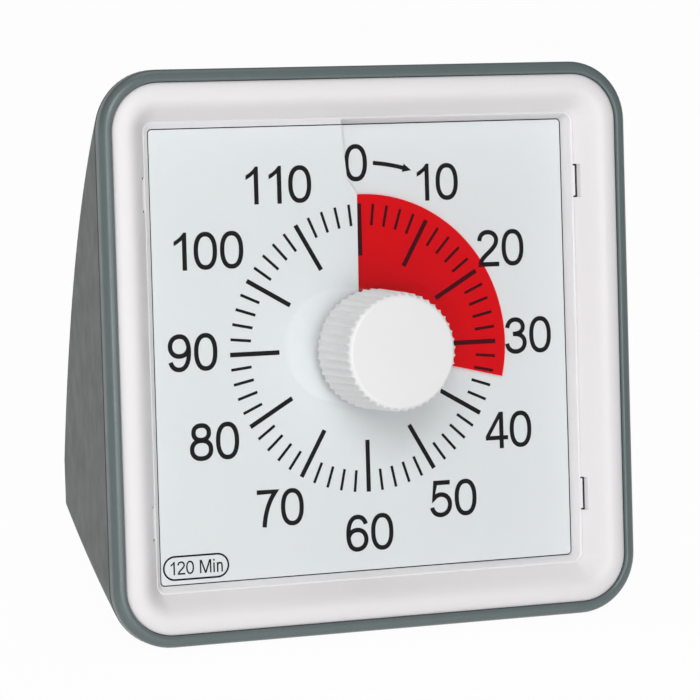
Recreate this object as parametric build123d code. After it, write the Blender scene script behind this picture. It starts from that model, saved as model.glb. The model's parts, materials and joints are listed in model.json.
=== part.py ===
from build123d import *
import os
from math import cos, pi, radians, sin, sqrt, tan

# Visual countdown timer: a wedge-shaped desk timer with a square face.
# A red film winds out of a slit in the dial and shows the minutes left.
# Millimetres. Face pieces are drawn in the face's own frame: x to the right,
# y up the face, z out of the face, with z = 0 at the dial's middle level.
# The finished timer stands on z = 0 with the face towards -Y.

# ---------------------------------------------------------------- driving sizes
face_size = 140.0          # outside of the square front
face_corner = 15.0         # corner radius of the front
lean = 21.0                # the face leans back by this many degrees
side_draft = 9.55          # side walls close in towards the rear, degrees
heel_depth_max = 75.6      # depth at which base and back would meet
back_bulge = 9.8           # how far the back bows out from a straight slope
heel_r = 4.0               # rounding where the base turns up into the back
heel_cuts = (21, 38, 55, 70, 80)   # sections of the heel, in degrees round it
rear_corner = 2.0          # corner radius of the wedge at its thin end
corner_fade = 0.45         # the corner radius fades this much faster near the front
wall = 2.4                 # shell wall
parting_z = 4.0            # level where the front frame meets the rear shell

rim_width = 3.0            # grey rim seen round the white bezel
rim_z = 8.8                # crown of the rim
rim_round = 2.2            # outer rounding of the rim
rim_ease = 0.7             # inner rounding of the rim
shelf_t = 1.3              # shelf of the front frame that carries the bezel
shelf_w = 3.6              # how far the shelf reaches inwards
lip_t = 1.4                # locating lip inside the rear shell
lip_h = 3.0
groove_w = 0.7             # shadow line along the parting
groove_d = 0.5

bezel_crown = 0.6          # bezel crown above the rim
bezel_edge_drop = 0.8      # bezel's outer edge below the rim crown
bezel_crown_in = 3.4       # crown's distance inwards from the bezel edge
bezel_w = 7.95             # visible width of the bezel's dish
bezel_lip_z = 4.9          # bezel's edge at the window
ledge_w = 3.1              # ledge that holds dial and lens
bezel_leg_in = 3.6         # leg's outer side, from the bezel edge
bezel_floor_z = -3.4       # back of the bezel's leg

lens_t = 1.4
lens_z = 3.0               # underside of the lens
lens_gap = 0.2
lens_hole_r = 4.0
lens_ease = 0.35
tab_share = 0.68           # snap tabs sit at this share of the lens's half height
tab_len = 7.6
tab_reach = 1.5            # how far a tab stands out from the lens
tab_leg_t = 0.7
tab_barb = 0.5
tab_depth = 1.5            # leg below the lens
notch_side = 0.4           # room beside each tab
notch_end = 0.4            # room beyond each tab

pitch = 2.4                # rise of the dial's winding over one turn
dial_under = 4.2           # the dial reaches this far under the ledge
dial_corner = 3.5
dial_t = 0.8
dial_hole_r = 9.0
dial_gap = 0.15            # room round the dial's edge
dial_seat = 0.03           # room above and below the clamped dial
overlap_deg = 8.0          # lower layer reaches under the upper one at the slit
slit_straight = 38.5       # the slit's edge is radial up to here
slit_bend = 2.0            # then it bends aside by this much
slit_bend_len = 7.0
slit_lean = 4.4            # total offset at the end of the edge

film_r = 38.3
film_t = 0.25
film_sweep = 358.0
film_shown = 103.5         # degrees of film in view: 34.5 of 120 minutes
hub_r = 8.0
hub_edge = 0.25            # hub beyond the film's lowest and highest parts

knob_r = 15.0
knob_front_z = 24.6
lens_to_knob = 0.8
knob_ribs = 45
rib_h = 0.55
knob_bevel = 1.3
knob_wall = 1.8
knob_web = 2.2
knob_boss_r = 4.6

spindle_r = 2.5
spindle_flat = 1.9         # half width across the two flats
running = 0.05             # running clearance, radial
fit = 0.15                 # clearance between moulded parts

chassis_t = 2.0
chassis_gap = 0.45         # chassis edge inside the bezel's leg
cup_r = 13.5
cup_depth = 3.2
rib_w = 2.6                # helical rib that presses on the dial
bush_r = 4.0
nut_af = 10.0
nut_t = 1.8
washer_t = 0.4
washer_r = 6.5

movement_half = 28.0
movement_depth = 15.0
movement_wall = 1.5
movement_split = 5.5       # depth of the front half
movement_corner = 4.0
gear_module = 0.4
centre_teeth = 60
wheel_teeth = 48
pinion_teeth = 10
gear_t = 1.0
arbor_r = 0.6
pivot_r = 0.4
pivot_gap = 0.25
pivot_depth = 0.8
tooth_share = 0.40         # tooth thickness as a share of the tooth pitch
third_angle = 215.0
fourth_angle = 110.0
rotor_angle = 60.0
magnet_r = 3.0
magnet_t = 2.0
stator_t = 1.2
core_w = 4.0
coil_t = 1.3
pole_half = 4.4            # half width of the stator bar at the rotor
stator_left = 6.0          # stator's reach to either side of the rotor
stator_right = 28.0
stator_margin = 5.0        # stator to the outside of the movement
coil_flange = 1.0
stator_pin_r = 1.5
leaf_t = 0.3               # zero contact's leaves
leaf_len = 12.0
leaf_foot = (4.0, 2.0)

cam_r = 5.0
cam_t = 2.0

board_w = 40.0
board_h = 18.0
board_t = 1.2
board_top = 30.0           # from the top of the front to the board's middle
board_stand = 3.0          # gap between chassis and board
board_hole_in = 3.0        # posts' distance from the board's edges
board_hole_r = 0.8
board_post_r = 2.0
chip = (9.0, 7.0, 1.8)
crystal_r = 1.25
crystal_len = 7.0
capacitor_r = 2.5
capacitor_h = 5.0

cell_r = 7.25              # AA cell
cell_len = 49.5
cell_nub_r = 2.75
cell_nub = 1.0
bay_gap = 0.6              # room round the cell
contact_room = 3.2         # room for a contact at each end
bay_wall = 1.5
bay_height = 19.0          # height of the cell's axis above the table
bay_back = 2.0             # cell surface to the inside of the door
door_t = 1.8
door_margin = 2.0          # door beyond the bay on every side
door_gap = 0.3
door_corner = 3.0
lug_share = 0.6            # hooks sit at this share of the bay's half length
rib_share = 0.45           # the door's ribs likewise
lug_w = 6.0
lug_t = 1.2
lug_reach = 1.6            # lugs reach this far under the wall
lug_sink = 0.3
tongue_w = 11.0            # spring tongue of the latch
tongue_l = 7.0
scoop_r = 12.0             # finger scoop above the tongue
scoop_d = 1.4
contact_t = 0.4
contact_w = 11.0
bump_r = 3.4               # plate contact's bump, at its root and tip
bump_tip_r = 2.4
cell_edge_r = 0.6
door_rib_w = 1.2
tongue_slit_w = 0.8
spring_r = 4.0
spring_wire = 0.35
spring_turns = 3
spring_cone = 25.0

foot_r = 5.5
foot_t = 1.8
foot_out = 1.0             # foot below the base
foot_side = 24.0           # from the side of the front to a foot's middle
foot_front_y = -17.0
foot_rear_y = 37.0
post_r = 4.0
well_r = 2.75
post_side = 22.0           # screw posts, in from the side of the front
post_top = 33.0            # down from its top
post_low = 40.0            # up from its bottom
boss_h = 4.0
screw_r = 1.4
screw_head_r = 2.5
screw_head_t = 1.8
screw_len = 6.2
small_screw_r = 0.9
small_head_r = 1.8
small_head_t = 1.0
small_screw_len = 4.0

switch_side = 40.0         # from the side of the front to the switch's middle
switch_slot = (9.4, 3.2)
switch_travel = 5.0
switch_height = 74.0       # height of the switch above the table
recess_d = 0.8
nub_out = 0.6
nub_groove_w = 0.5
nub_groove_step = 1.1
recess_room = (5.0, 4.0)   # the recess is this much larger than the slot
guide_t = 2.0
pin_step = 2.5
pin_len = 3.0
pin_size = (0.6, 1.2)
slider_t = 1.0
switch_deep = 6.0
switch_body_w = 12.0
switch_body_h = 6.4
sounder_r = 11.5
sounder_t = 4.0
sounder_gap = 0.45         # leaves room for the bowed wall
sounder_ring_t = 1.4
sounder_ring_h = 3.0
sounder_port_r = 1.5
grille_side = 40.0         # the same for the grille, on the other side
grille_r = 11.0
grille_slots = 5
grille_slot_w = 1.6
grille_spread = 0.8        # outer slots' middles as a share of the grille's radius

# ---------------------------------------------------------------- shared places
half = face_size / 2
bezel_half = half - rim_width
window_half = bezel_half - fit - bezel_w
opening_half = window_half - ledge_w
dial_half = opening_half + dial_under
shelf_z = parting_z + shelf_t
leg_half = bezel_half - fit - bezel_leg_in
chassis_half = leg_half - chassis_gap
chassis_z = bezel_floor_z
cup_floor = chassis_z - cup_depth
movement_top = cup_floor - chassis_t
movement_end = movement_top - movement_depth
lens_top = lens_z + lens_t
knob_back_z = lens_top + lens_to_knob
spindle_end = movement_end - cam_t - 1.2
spindle_top = knob_front_z - knob_web
lens_half = window_half - lens_gap
tab_y = tab_share * lens_half
window_corner = face_corner - rim_width - fit - bezel_w
tab_end = lens_half + tab_reach
foot_x = half - foot_side
post_x = half - post_side
post_top_y = half - post_top
post_low_y = post_low - half
board_y = half - board_top
switch_x = half - switch_side
grille_x = grille_side - half
boss_end = chassis_z - chassis_t - boss_h
head_level = boss_end - screw_head_t
board_z = chassis_z - chassis_t - board_stand
centre_level = movement_top - movement_wall - 2.0
third_level = centre_level - 2.6
fourth_level = third_level - 2.6
magnet_level = fourth_level - 3.4
stator_low = magnet_level + (magnet_t - stator_t) / 2
BASE = (Align.CENTER, Align.CENTER, Align.MIN)
HOOK = (Align.CENTER, Align.MIN, Align.MIN)
face_height = foot_out + half * cos(radians(lean)) - parting_z * sin(radians(lean))
FACE = Plane(
    origin=(0, 0, face_height),
    x_dir=(1, 0, 0),
    z_dir=(0, -cos(radians(lean)), sin(radians(lean))),
)


def square(side_half, corner):
    """Rounded square about the face's middle, corner radius kept above 0.5."""
    return RectangleRounded(2 * side_half, 2 * side_half, max(corner, 0.5))


def slab(side_half, corner, low, high):
    return Pos(0, 0, low) * extrude(square(side_half, corner), amount=high - low)


def disc(radius, low, high):
    return Pos(0, 0, low) * extrude(Circle(radius), amount=high - low)


def pill(x, y, radius, low, high):
    return Pos(x, y, 0) * disc(radius, low, high)


# ---------------------------------------------------------------- wedge form
def back_circle():
    """Centre and radius of the bowed back in (height y, depth d)."""
    top = Vector(half, 0)
    heel = Vector(-half + heel_depth_max * tan(radians(lean)), heel_depth_max)
    chord = heel - top
    along = chord.normalized()
    out = Vector(-along.Y, along.X)
    if out.Y < 0:
        out = -out
    radius = (chord.length**2 / 4 + back_bulge**2) / (2 * back_bulge)
    centre = top + chord / 2 - out * (radius - back_bulge)
    return centre.X, centre.Y, radius


BACK_Y, BACK_D, BACK_R = back_circle()


def base_line(depth, inset):
    return -half + depth * tan(radians(lean)) + inset / cos(radians(lean))


def back_line(depth, inset):
    return BACK_Y + sqrt((BACK_R - inset) ** 2 - (depth - BACK_D) ** 2)


def meeting_depth(inset):
    """Depth at which the base and the back, both moved in, meet."""
    low, high = 0.0, heel_depth_max
    for _ in range(60):
        middle = (low + high) / 2
        if back_line(middle, inset) > base_line(middle, inset):
            low = middle
        else:
            high = middle
    return low


def wedge_section(depth, inset, width_cut, low, high):
    across = half - depth * tan(radians(side_draft)) - inset - width_cut
    share = depth / heel_depth_max
    fade = share + corner_fade * share * (1 - share)
    corner = face_corner + (rear_corner - face_corner) * fade - inset
    corner = min(max(corner, 0.5), 0.48 * (high - low))
    sketch = RectangleRounded(2 * across, high - low, corner)
    return Pos(0, (high + low) / 2, parting_z - depth) * sketch


def wedge(inset, steps=7):
    """The housing's outside, moved in by inset on every side but the front."""
    heel = max(heel_r - inset, 1.0)
    heel_d = meeting_depth(inset + heel)
    heel_y = base_line(heel_d, inset + heel)
    body = []
    for i in range(steps):
        depth = heel_d * i / (steps - 1)
        low = base_line(depth, inset)
        high = back_line(depth, inset)
        body.append(wedge_section(depth, inset, 0, low, high))
    if inset > 0:
        return loft(body)
    cap = [body[-1]]
    back_reach = heel * (heel_d - BACK_D) / (BACK_R - heel)
    for angle in heel_cuts:
        reach = heel * sin(radians(angle))
        rise = heel * cos(radians(angle))
        depth = heel_d + reach
        low = heel_y - rise if angle > lean else base_line(depth, 0)
        high = heel_y + rise if reach > back_reach else back_line(depth, 0)
        cap.append(wedge_section(depth, inset, heel - rise, low, high))
    return loft(body) + loft(cap, ruled=True)


def rear_plane(height, x=0.0):
    """Plane on the back at a height above the table, facing out."""
    cos_l, sin_l = cos(radians(lean)), sin(radians(lean))
    low, high = 0.0, heel_depth_max
    for _ in range(60):
        depth = (low + high) / 2
        y = back_line(depth, 0)
        if face_height + y * cos_l + (parting_z - depth) * sin_l > height:
            low = depth
        else:
            high = depth
    y = back_line(low, 0)
    point = FACE.from_local_coords(Vector(x, y, parting_z - low))
    tip = FACE.from_local_coords(Vector(x, BACK_Y, parting_z - BACK_D))
    return Plane(origin=point, x_dir=(-1, 0, 0), z_dir=point - tip)


# ---------------------------------------------------------------- winding sheet
def winding(inner, outer, thickness, start, end, mid_level):
    """Sheet that climbs by one pitch a turn, clockwise from the top."""
    climb = pitch * (end - start) / 360
    path = Helix(pitch=pitch, height=climb, radius=(inner + outer) / 2, lefthand=True)
    blade = Plane(origin=path @ 0, x_dir=(1, 0, 0), z_dir=(0, -1, 0))
    sheet = sweep(blade * Rectangle(outer - inner, thickness), path=path, is_frenet=True)
    level = mid_level + pitch * start / 360
    return Rot(0, 0, 90 - start) * (Pos(0, 0, level) * sheet)


def dial_block(low, high):
    """Everything between two levels above the dial's middle, as two half turns."""
    level = (low + high) / 2 - pitch / 2
    outer = 1.5 * dial_half
    return [winding(0.5, outer, high - low, start, start + 180, level) for start in (0, 180)]


# ---------------------------------------------------------------- housing
def make_front_frame():
    ring = slab(half, face_corner, parting_z, rim_z)
    ring = fillet(ring.faces().sort_by(Axis.Z)[-1].edges(), rim_round)
    ring -= slab(bezel_half, face_corner - rim_width, parting_z, rim_z + 1)
    crown = ring.faces().sort_by(Axis.Z)[-1]
    ring = fillet(crown.inner_wires()[0].edges(), rim_ease)
    groove = slab(half + 1, face_corner + 1, parting_z, parting_z + groove_w)
    groove -= slab(half - groove_d, face_corner - groove_d, parting_z, parting_z + groove_w)
    ring -= groove
    shelf = slab(bezel_half + 0.5, face_corner - rim_width, parting_z, shelf_z)
    shelf -= slab(bezel_half - shelf_w, face_corner - rim_width - shelf_w, parting_z, shelf_z)
    return ring + shelf + lip_band(0)


def screw_places():
    return [(x, y) for x in (-post_x, post_x) for y in (post_top_y, post_low_y)]


def make_rear_shell():
    shell = wedge(0) - wedge(wall)
    for x, y in screw_places():
        shell += pill(x, y, post_r, -face_size, boss_end) & wedge(wall / 2)
    for x, y in screw_places():
        shell -= pill(x, y, well_r, -face_size, head_level)
        shell -= pill(x, y, screw_r + fit, head_level - 1, boss_end + 1)
    shell = FACE.location * shell
    outer = FACE.location * wedge(0)
    inside_door = FACE.location * wedge(door_t)
    shell += bay_box(bay_wall) & inside_door
    shell += guide_blocks() & outer
    shell += sounder_ring() & outer
    shell -= bay_box(0)
    shell -= door_prism(door_gap) - inside_door
    shell -= lug_pockets()
    shell -= finger_scoop()
    shell -= switch_cuts()
    shell -= grille_cuts()
    for x, y in foot_places():
        shell -= Pos(x, y, 0) * disc(foot_r + fit, 0, foot_t)
    return shell


def foot_places():
    return [(x, y) for x in (-foot_x, foot_x) for y in (foot_front_y, foot_rear_y)]


def make_feet():
    feet = []
    for x, y in foot_places():
        foot = disc(foot_r, 0, foot_t)
        foot = fillet(foot.edges().sort_by(Axis.Z)[:1], foot_out / 2)
        feet.append(Pos(x, y, 0) * foot)
    return feet


def bezel_section():
    edge = bezel_half - fit
    window = edge - bezel_w
    with BuildSketch(Plane.XZ) as section:
        with BuildLine():
            edge_top = (edge, rim_z - bezel_edge_drop)
            crown = (edge - bezel_crown_in, rim_z + bezel_crown)
            dish = (window, bezel_lip_z)
            Line((edge, shelf_z), edge_top)
            Spline(edge_top, crown, dish, tangents=[(-0.25, 1), (-1, -0.62)])
            Polyline(
                dish,
                (window, lens_z),
                (opening_half, lens_z),
                (opening_half, bezel_floor_z),
                (leg_half, bezel_floor_z),
                (leg_half, shelf_z),
                (edge, shelf_z),
            )
        make_face()
    return section.sketch


def tab_places():
    return [(side, y) for side in (-1, 1) for y in (-tab_y, tab_y)]


def side_box(side, y, near, far, length, low, high):
    middle = side * (near + far) / 2
    return Pos(middle, y, (low + high) / 2) * Box(far - near, length, high - low)


def lip_band(room):
    """The ring just behind the parting that the front frame's lip fills."""
    band = wedge(wall + fit - room) - wedge(wall + fit + lip_t + room)
    return band & (Pos(0, 0, parting_z - lip_h / 2) * Box(face_size, face_size, lip_h + 2 * room))


def inside_shell(shape):
    """Trim what lies behind the parting to the room inside shell and lip."""
    room = wedge(wall + 2 * fit)
    front = Pos(0, 0, parting_z + face_size / 2) * Box(2 * face_size, 2 * face_size, face_size)
    return (shape & (room + front)) - lip_band(fit / 2)


def make_bezel():
    edge = bezel_half - fit
    path = Wire(square(edge, face_corner - rim_width - fit).edges())
    bezel = sweep(bezel_section(), path=path)
    seat = slab(dial_half + dial_gap, dial_corner, bezel_floor_z - 2, pitch)
    for turn in dial_block(bezel_floor_z - 3, dial_t / 2 + dial_seat):
        bezel -= seat & turn
    length = tab_len + 2 * notch_end
    for side, y in tab_places():
        bezel -= side_box(side, y, window_half - 1, tab_end + notch_side, length, lens_z, rim_z)
        near, far = tab_end - tab_leg_t - fit, tab_end + tab_barb + notch_side
        bezel -= side_box(side, y, near, far, length, bezel_floor_z - 1, lens_z)
    for x, y in chassis_screw_places():
        bezel -= pill(x, y, small_screw_r, chassis_z - 1, chassis_z + small_screw_len - chassis_t + 0.3)
    return inside_shell(bezel)


def make_lens():
    lens = slab(lens_half, window_corner, lens_z, lens_top)
    lens = chamfer(lens.faces().sort_by(Axis.Z)[-1].edges(), lens_ease)
    lens -= disc(lens_hole_r, lens_z - 1, lens_top + 1)
    for side, y in tab_places():
        lens += side_box(side, y, lens_half - 1, tab_end, tab_len, lens_z, lens_top - lens_ease)
        near = tab_end - tab_leg_t
        low = lens_z - tab_depth
        lens += side_box(side, y, near, tab_end, tab_len, low, lens_z)
        tooth = Polyline(
            (near, low),
            (tab_end, low),
            (tab_end + tab_barb, low + tab_barb),
            (tab_end, low + 2 * tab_barb),
            (near, low + 2 * tab_barb),
            close=True,
        )
        barb = extrude(Plane.XZ * make_face(tooth), amount=tab_len / 2, both=True)
        if side < 0:
            barb = mirror(barb, Plane.YZ)
        lens += Pos(0, y, 0) * barb
    return lens


# ---------------------------------------------------------------- dial and film
def make_dial():
    sheet = winding(dial_hole_r, 1.5 * dial_half, dial_t, -overlap_deg, 360, -pitch / 2)
    sheet &= slab(dial_half, dial_corner, -2 * pitch, 2 * pitch)
    bend_end = slit_straight + slit_bend_len
    edge = Spline(
        (0, slit_straight),
        (-slit_bend, bend_end),
        (-slit_lean, dial_half + 1),
        tangents=[(0, 1), (-(slit_lean - slit_bend), dial_half + 1 - bend_end)],
    )
    rest = Polyline((-slit_lean, dial_half + 1), (1, dial_half + 1), (1, slit_straight), (0, slit_straight))
    sheet -= extrude(make_face(edge + rest), amount=2 * pitch)
    return sheet


def make_film():
    return winding(hub_r, film_r, film_t, film_shown - film_sweep, film_shown, 0)


def flatted(radius, low, high):
    """Round bar with two flats, or the bore for one."""
    width = 2 * (radius - spindle_r + spindle_flat)
    bar = disc(radius, low, high)
    return bar & (Pos(0, 0, (low + high) / 2) * Box(width, 4 * radius, high - low))


def make_film_hub():
    low = pitch * (film_shown - film_sweep) / 360 - film_t / 2 - hub_edge
    high = pitch * film_shown / 360 + film_t / 2 + hub_edge
    return disc(hub_r, low, high) - flatted(spindle_r + running, low - 1, high + 1)


# ---------------------------------------------------------------- knob and spindle
def make_knob():
    core = knob_r - rib_h
    root = pi * core / knob_ribs
    rib = Polyline(
        (core - 0.3, -0.5 * root),
        (core, -0.5 * root),
        (knob_r, -0.22 * root),
        (knob_r, 0.22 * root),
        (core, 0.5 * root),
        (core - 0.3, 0.5 * root),
        close=True,
    )
    outline = Circle(core) + [place * make_face(rib) for place in PolarLocations(0, knob_ribs)]
    body = Pos(0, 0, knob_back_z) * extrude(outline, amount=knob_front_z - knob_back_z)
    shoulder = knob_front_z - knob_bevel
    form = disc(knob_r + 0.1, knob_back_z, shoulder)
    form += Pos(0, 0, shoulder) * Cone(knob_r + 0.1, knob_r - knob_bevel, knob_bevel, align=BASE)
    knob = body & form
    roof = knob_front_z - knob_web
    knob -= disc(core - knob_wall, knob_back_z - 1, roof)
    knob += disc(knob_boss_r, knob_back_z, roof + 0.5)
    knob -= flatted(spindle_r + 0.02, knob_back_z - 1, spindle_top)
    return knob


def make_spindle():
    flats_from = cup_floor + washer_t + nut_t + 1
    spindle = disc(spindle_r, spindle_end, flats_from)
    return spindle + flatted(spindle_r, flats_from, spindle_top - fit)


def make_zero_cam():
    cam = disc(cam_r, movement_end - pivot_gap - cam_t, movement_end - pivot_gap)
    cam -= pill(0, cam_r + 0.6, 2.0, movement_end - 2 * cam_t, movement_end)
    return cam - disc(spindle_r + 0.02, spindle_end - 1, movement_end)


# ---------------------------------------------------------------- chassis
def chassis_screw_places():
    line = (dial_half + dial_gap + leg_half) / 2
    third = dial_half / 3
    sides = [(x, y) for x in (-line, line) for y in (-third, third)]
    return sides + [(-third, -line), (third, -line)]


def board_posts():
    across = board_w / 2 - board_hole_in
    up = board_h / 2 - board_hole_in
    return [(x, board_y + y) for x in (-across, across) for y in (-up, up)]


def make_chassis():
    back = chassis_z - chassis_t
    plate = inside_shell(slab(chassis_half, dial_corner, back, chassis_z))
    plate += disc(cup_r, movement_top, chassis_z)
    plate -= disc(cup_r - chassis_t, cup_floor, chassis_z + 1)
    plate -= disc(bush_r + fit, movement_top - 1, cup_floor + 1)
    rib_half = dial_half - dial_gap
    rib = slab(rib_half, dial_corner, chassis_z - 0.5, pitch)
    rib -= slab(rib_half - rib_w, dial_corner, chassis_z - 1, pitch + 1)
    for turn in dial_block(-dial_t / 2 - dial_seat, 4 * pitch):
        rib -= turn
    overlap_w = dial_half * tan(radians(overlap_deg)) + 2
    rib -= Pos(-overlap_w / 2 + 1, dial_half, 0) * Box(overlap_w + 2, 2 * rib_w + 4, 4 * pitch)
    plate += inside_shell(rib)
    for x, y in screw_places():
        plate += pill(x, y, post_r - 0.5, boss_end, back + 0.5)
    for x, y in screw_places():
        plate -= pill(x, y, screw_r, boss_end - 1, head_level + screw_len + 0.3)
    for x, y in chassis_screw_places():
        plate -= pill(x, y, small_screw_r + fit, back - 1, chassis_z + 1)
    for x, y in board_posts():
        plate += pill(x, y, board_post_r, board_z, back + 0.5)
    return plate


def screw(x, y, shank_r, length, head_r, head_t, level):
    """Pan-head screw driven forwards from a level; head behind it."""
    body = pill(x, y, shank_r - 0.02, level, level + length)
    head = chamfer(disc(head_r, level - head_t, level).edges().sort_by(Axis.Z)[:1], head_t / 3)
    slot = Pos(0, 0, level - head_t) * Box(2.2 * shank_r, 0.5, head_t)
    cross = Pos(0, 0, level - head_t) * Box(0.5, 2.2 * shank_r, head_t)
    return body + Pos(x, y, 0) * (head - slot - cross)


def make_case_screws():
    sizes = (screw_r, screw_len, screw_head_r, screw_head_t, head_level)
    return [screw(x, y, *sizes) for x, y in screw_places()]


def make_chassis_screws():
    sizes = (small_screw_r, small_screw_len, small_head_r, small_head_t, chassis_z - chassis_t)
    return [screw(x, y, *sizes) for x, y in chassis_screw_places()]


# ---------------------------------------------------------------- movement
def polar(radius, angle):
    return Vector(radius * cos(radians(angle)), radius * sin(radians(angle)))


def gear_outline(teeth, phase):
    """Spur gear with straight-flanked teeth and a tooth centre at the phase angle."""
    pitch_r = gear_module * teeth / 2
    tip_r = pitch_r + 0.9 * gear_module
    root_r = pitch_r - 1.25 * gear_module
    step = 360 / teeth
    half_pitch = step * tooth_share / 2
    half_root = half_pitch * 1.35
    half_tip = half_pitch * 0.45
    points = []
    for i in range(teeth):
        middle = phase + i * step
        points.append(polar(root_r, middle - half_root))
        points.append(polar(pitch_r, middle - half_pitch))
        points.append(polar(tip_r, middle - half_tip))
        points.append(polar(tip_r, middle + half_tip))
        points.append(polar(pitch_r, middle + half_pitch))
        points.append(polar(root_r, middle + half_root))
    return make_face(Polyline(*points, close=True))


def gear(place, teeth, phase, low, high):
    return Pos(place.X, place.Y, low) * extrude(gear_outline(teeth, phase), amount=high - low)


def mesh_phase(direction, driver_teeth, driver_phase, teeth):
    """Phase that puts a gap of this gear on a tooth of its driver."""
    turn = driver_teeth / teeth * (direction - driver_phase)
    return direction + 180 + 180 / teeth + turn


def centre_distance(teeth_a, teeth_b):
    return gear_module * (teeth_a + teeth_b) / 2


THIRD = polar(centre_distance(centre_teeth, pinion_teeth), third_angle)
FOURTH = THIRD + polar(centre_distance(wheel_teeth, pinion_teeth), fourth_angle)
ROTOR = FOURTH + polar(centre_distance(wheel_teeth, pinion_teeth), rotor_angle)


def arbor(place):
    top = movement_top - movement_wall - pivot_gap
    bottom = movement_end + movement_wall + pivot_gap
    body = pill(place.X, place.Y, arbor_r, bottom, top)
    return body + pill(place.X, place.Y, pivot_r, bottom - pivot_depth, top + pivot_depth)


def make_centre_wheel():
    wheel = gear(Vector(0, 0), centre_teeth, 0, centre_level, centre_level + gear_t)
    wheel += disc(spindle_r + 1.5, centre_level - 1, centre_level + gear_t + 0.2)
    for place in PolarLocations(0.58 * gear_module * centre_teeth / 2, 5):
        wheel -= place * Pos(0, 0, centre_level - 1) * Cylinder(2.2, 4 * gear_t)
    return wheel - disc(spindle_r + running, centre_level - 2, centre_level + 2 * gear_t)


def make_train_wheel(place, direction, driver_teeth, pinion_low, wheel_low):
    phase = mesh_phase(direction, driver_teeth, 0, pinion_teeth)
    pinion = gear(place, pinion_teeth, phase, pinion_low, pinion_low + 2 * gear_t)
    wheel = gear(place, wheel_teeth, 0, wheel_low, wheel_low + gear_t)
    return pinion + wheel + arbor(place)


def make_third_wheel():
    level = centre_level - gear_t / 2
    return make_train_wheel(THIRD, third_angle, centre_teeth, level, third_level)


def make_fourth_wheel():
    level = third_level - gear_t / 2
    return make_train_wheel(FOURTH, fourth_angle, wheel_teeth, level, fourth_level)


def make_rotor():
    phase = mesh_phase(rotor_angle, wheel_teeth, 0, pinion_teeth)
    low = fourth_level - gear_t / 2
    rotor = gear(ROTOR, pinion_teeth, phase, low, low + 2 * gear_t)
    rotor += pill(ROTOR.X, ROTOR.Y, magnet_r, magnet_level, magnet_level + magnet_t)
    return rotor + arbor(ROTOR)


def make_stator():
    left, right = ROTOR.X - stator_left, ROTOR.X + stator_right
    low, high = ROTOR.Y - pole_half, movement_half - stator_margin
    middle = magnet_level + magnet_t / 2
    plate = Pos((left + right) / 2, (low + high) / 2, middle) * Box(right - left, high - low, stator_t)
    slot_low, slot_high = ROTOR.Y + pole_half, high - core_w
    window = Box(right - left - 2 * core_w, slot_high - slot_low, 2 * stator_t)
    plate -= Pos((left + right) / 2, (slot_low + slot_high) / 2, middle) * window
    plate -= pill(ROTOR.X, ROTOR.Y, magnet_r + 0.6, magnet_level - 1, magnet_level + magnet_t + 1)
    return plate


def make_coil():
    left, right = ROTOR.X - stator_left + core_w, ROTOR.X + stator_right - core_w
    high = movement_half - stator_margin
    place = Pos((left + right) / 2, high - core_w / 2, magnet_level + magnet_t / 2)
    length = right - left - 2 * fit
    tube_y, tube_z = core_w + 2 * fit, stator_t + 2 * fit
    winding_y, winding_z = tube_y + 2 * coil_t, tube_z + 2 * coil_t
    coil = Box(length, winding_y - coil_flange, winding_z - coil_flange)
    for end in (-1, 1):
        coil += Pos(end * (length - coil_flange) / 2, 0, 0) * Box(coil_flange, winding_y, winding_z)
    coil -= Box(2 * length, tube_y, tube_z)
    return place * coil


def pivot_holes(level, depth):
    """Blind holes for the train's pivots in the wall at a level."""
    low, high = min(level, level + depth), max(level, level + depth)
    holes = [pill(p.X, p.Y, pivot_r + running, low, high) for p in (THIRD, FOURTH, ROTOR)]
    return holes


def case_half(low, high, floor_low, floor_high):
    box = slab(movement_half, movement_corner, low, high)
    room_low = floor_high if floor_low == low else low - 1
    room_high = high + 1 if floor_low == low else floor_low
    box -= slab(movement_half - movement_wall, movement_corner - movement_wall, room_low, room_high)
    return box


def make_movement_front():
    split = movement_top - movement_split
    case = case_half(split, movement_top, movement_top - movement_wall, movement_top)
    case += disc(bush_r, movement_top - movement_wall, cup_floor + washer_t + nut_t + 0.6)
    case -= disc(spindle_r + running, split, 0)
    inner = movement_top - movement_wall
    for hole in pivot_holes(inner - 0.5, pivot_depth + pivot_gap + 0.5):
        case -= hole
    return case


def make_movement_back():
    split = movement_top - movement_split
    inner = movement_end + movement_wall
    case = case_half(movement_end, split - 0.05, movement_end, inner)
    case -= disc(spindle_r + running, movement_end - 1, inner + 1)
    for hole in pivot_holes(inner + 0.5, -pivot_depth - pivot_gap - 0.5):
        case -= hole
    low = inner - 0.5
    for x in (core_w / 2 - stator_left, stator_right - core_w / 2):
        case += pill(ROTOR.X + x, ROTOR.Y - pole_half / 2, stator_pin_r, low, stator_low)
    return case


def make_bush_nut():
    nut = extrude(RegularPolygon(nut_af / 2, 6, major_radius=False), amount=nut_t)
    nut = Pos(0, 0, cup_floor + washer_t) * nut
    return nut - disc(bush_r, cup_floor, cup_floor + 2 * nut_t)


def make_washer():
    return disc(washer_r, cup_floor, cup_floor + washer_t) - disc(bush_r, cup_floor - 1, cup_floor + 1)


def make_zero_contact():
    leaves = []
    low = movement_end - cam_t - pivot_gap
    for side in (-1, 1):
        near = cam_r + fit + leaf_t / 2
        leaf = Pos(side * near, 0, (low + movement_end) / 2)
        leaf *= Box(leaf_t, leaf_len, movement_end - low)
        foot_w, foot_l = leaf_foot
        foot = Pos(side * (near + foot_w / 2), (leaf_len - foot_l) / 2, movement_end - leaf_t / 2)
        leaves.append(leaf + foot * Box(foot_w, foot_l, leaf_t))
    return leaves


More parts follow.
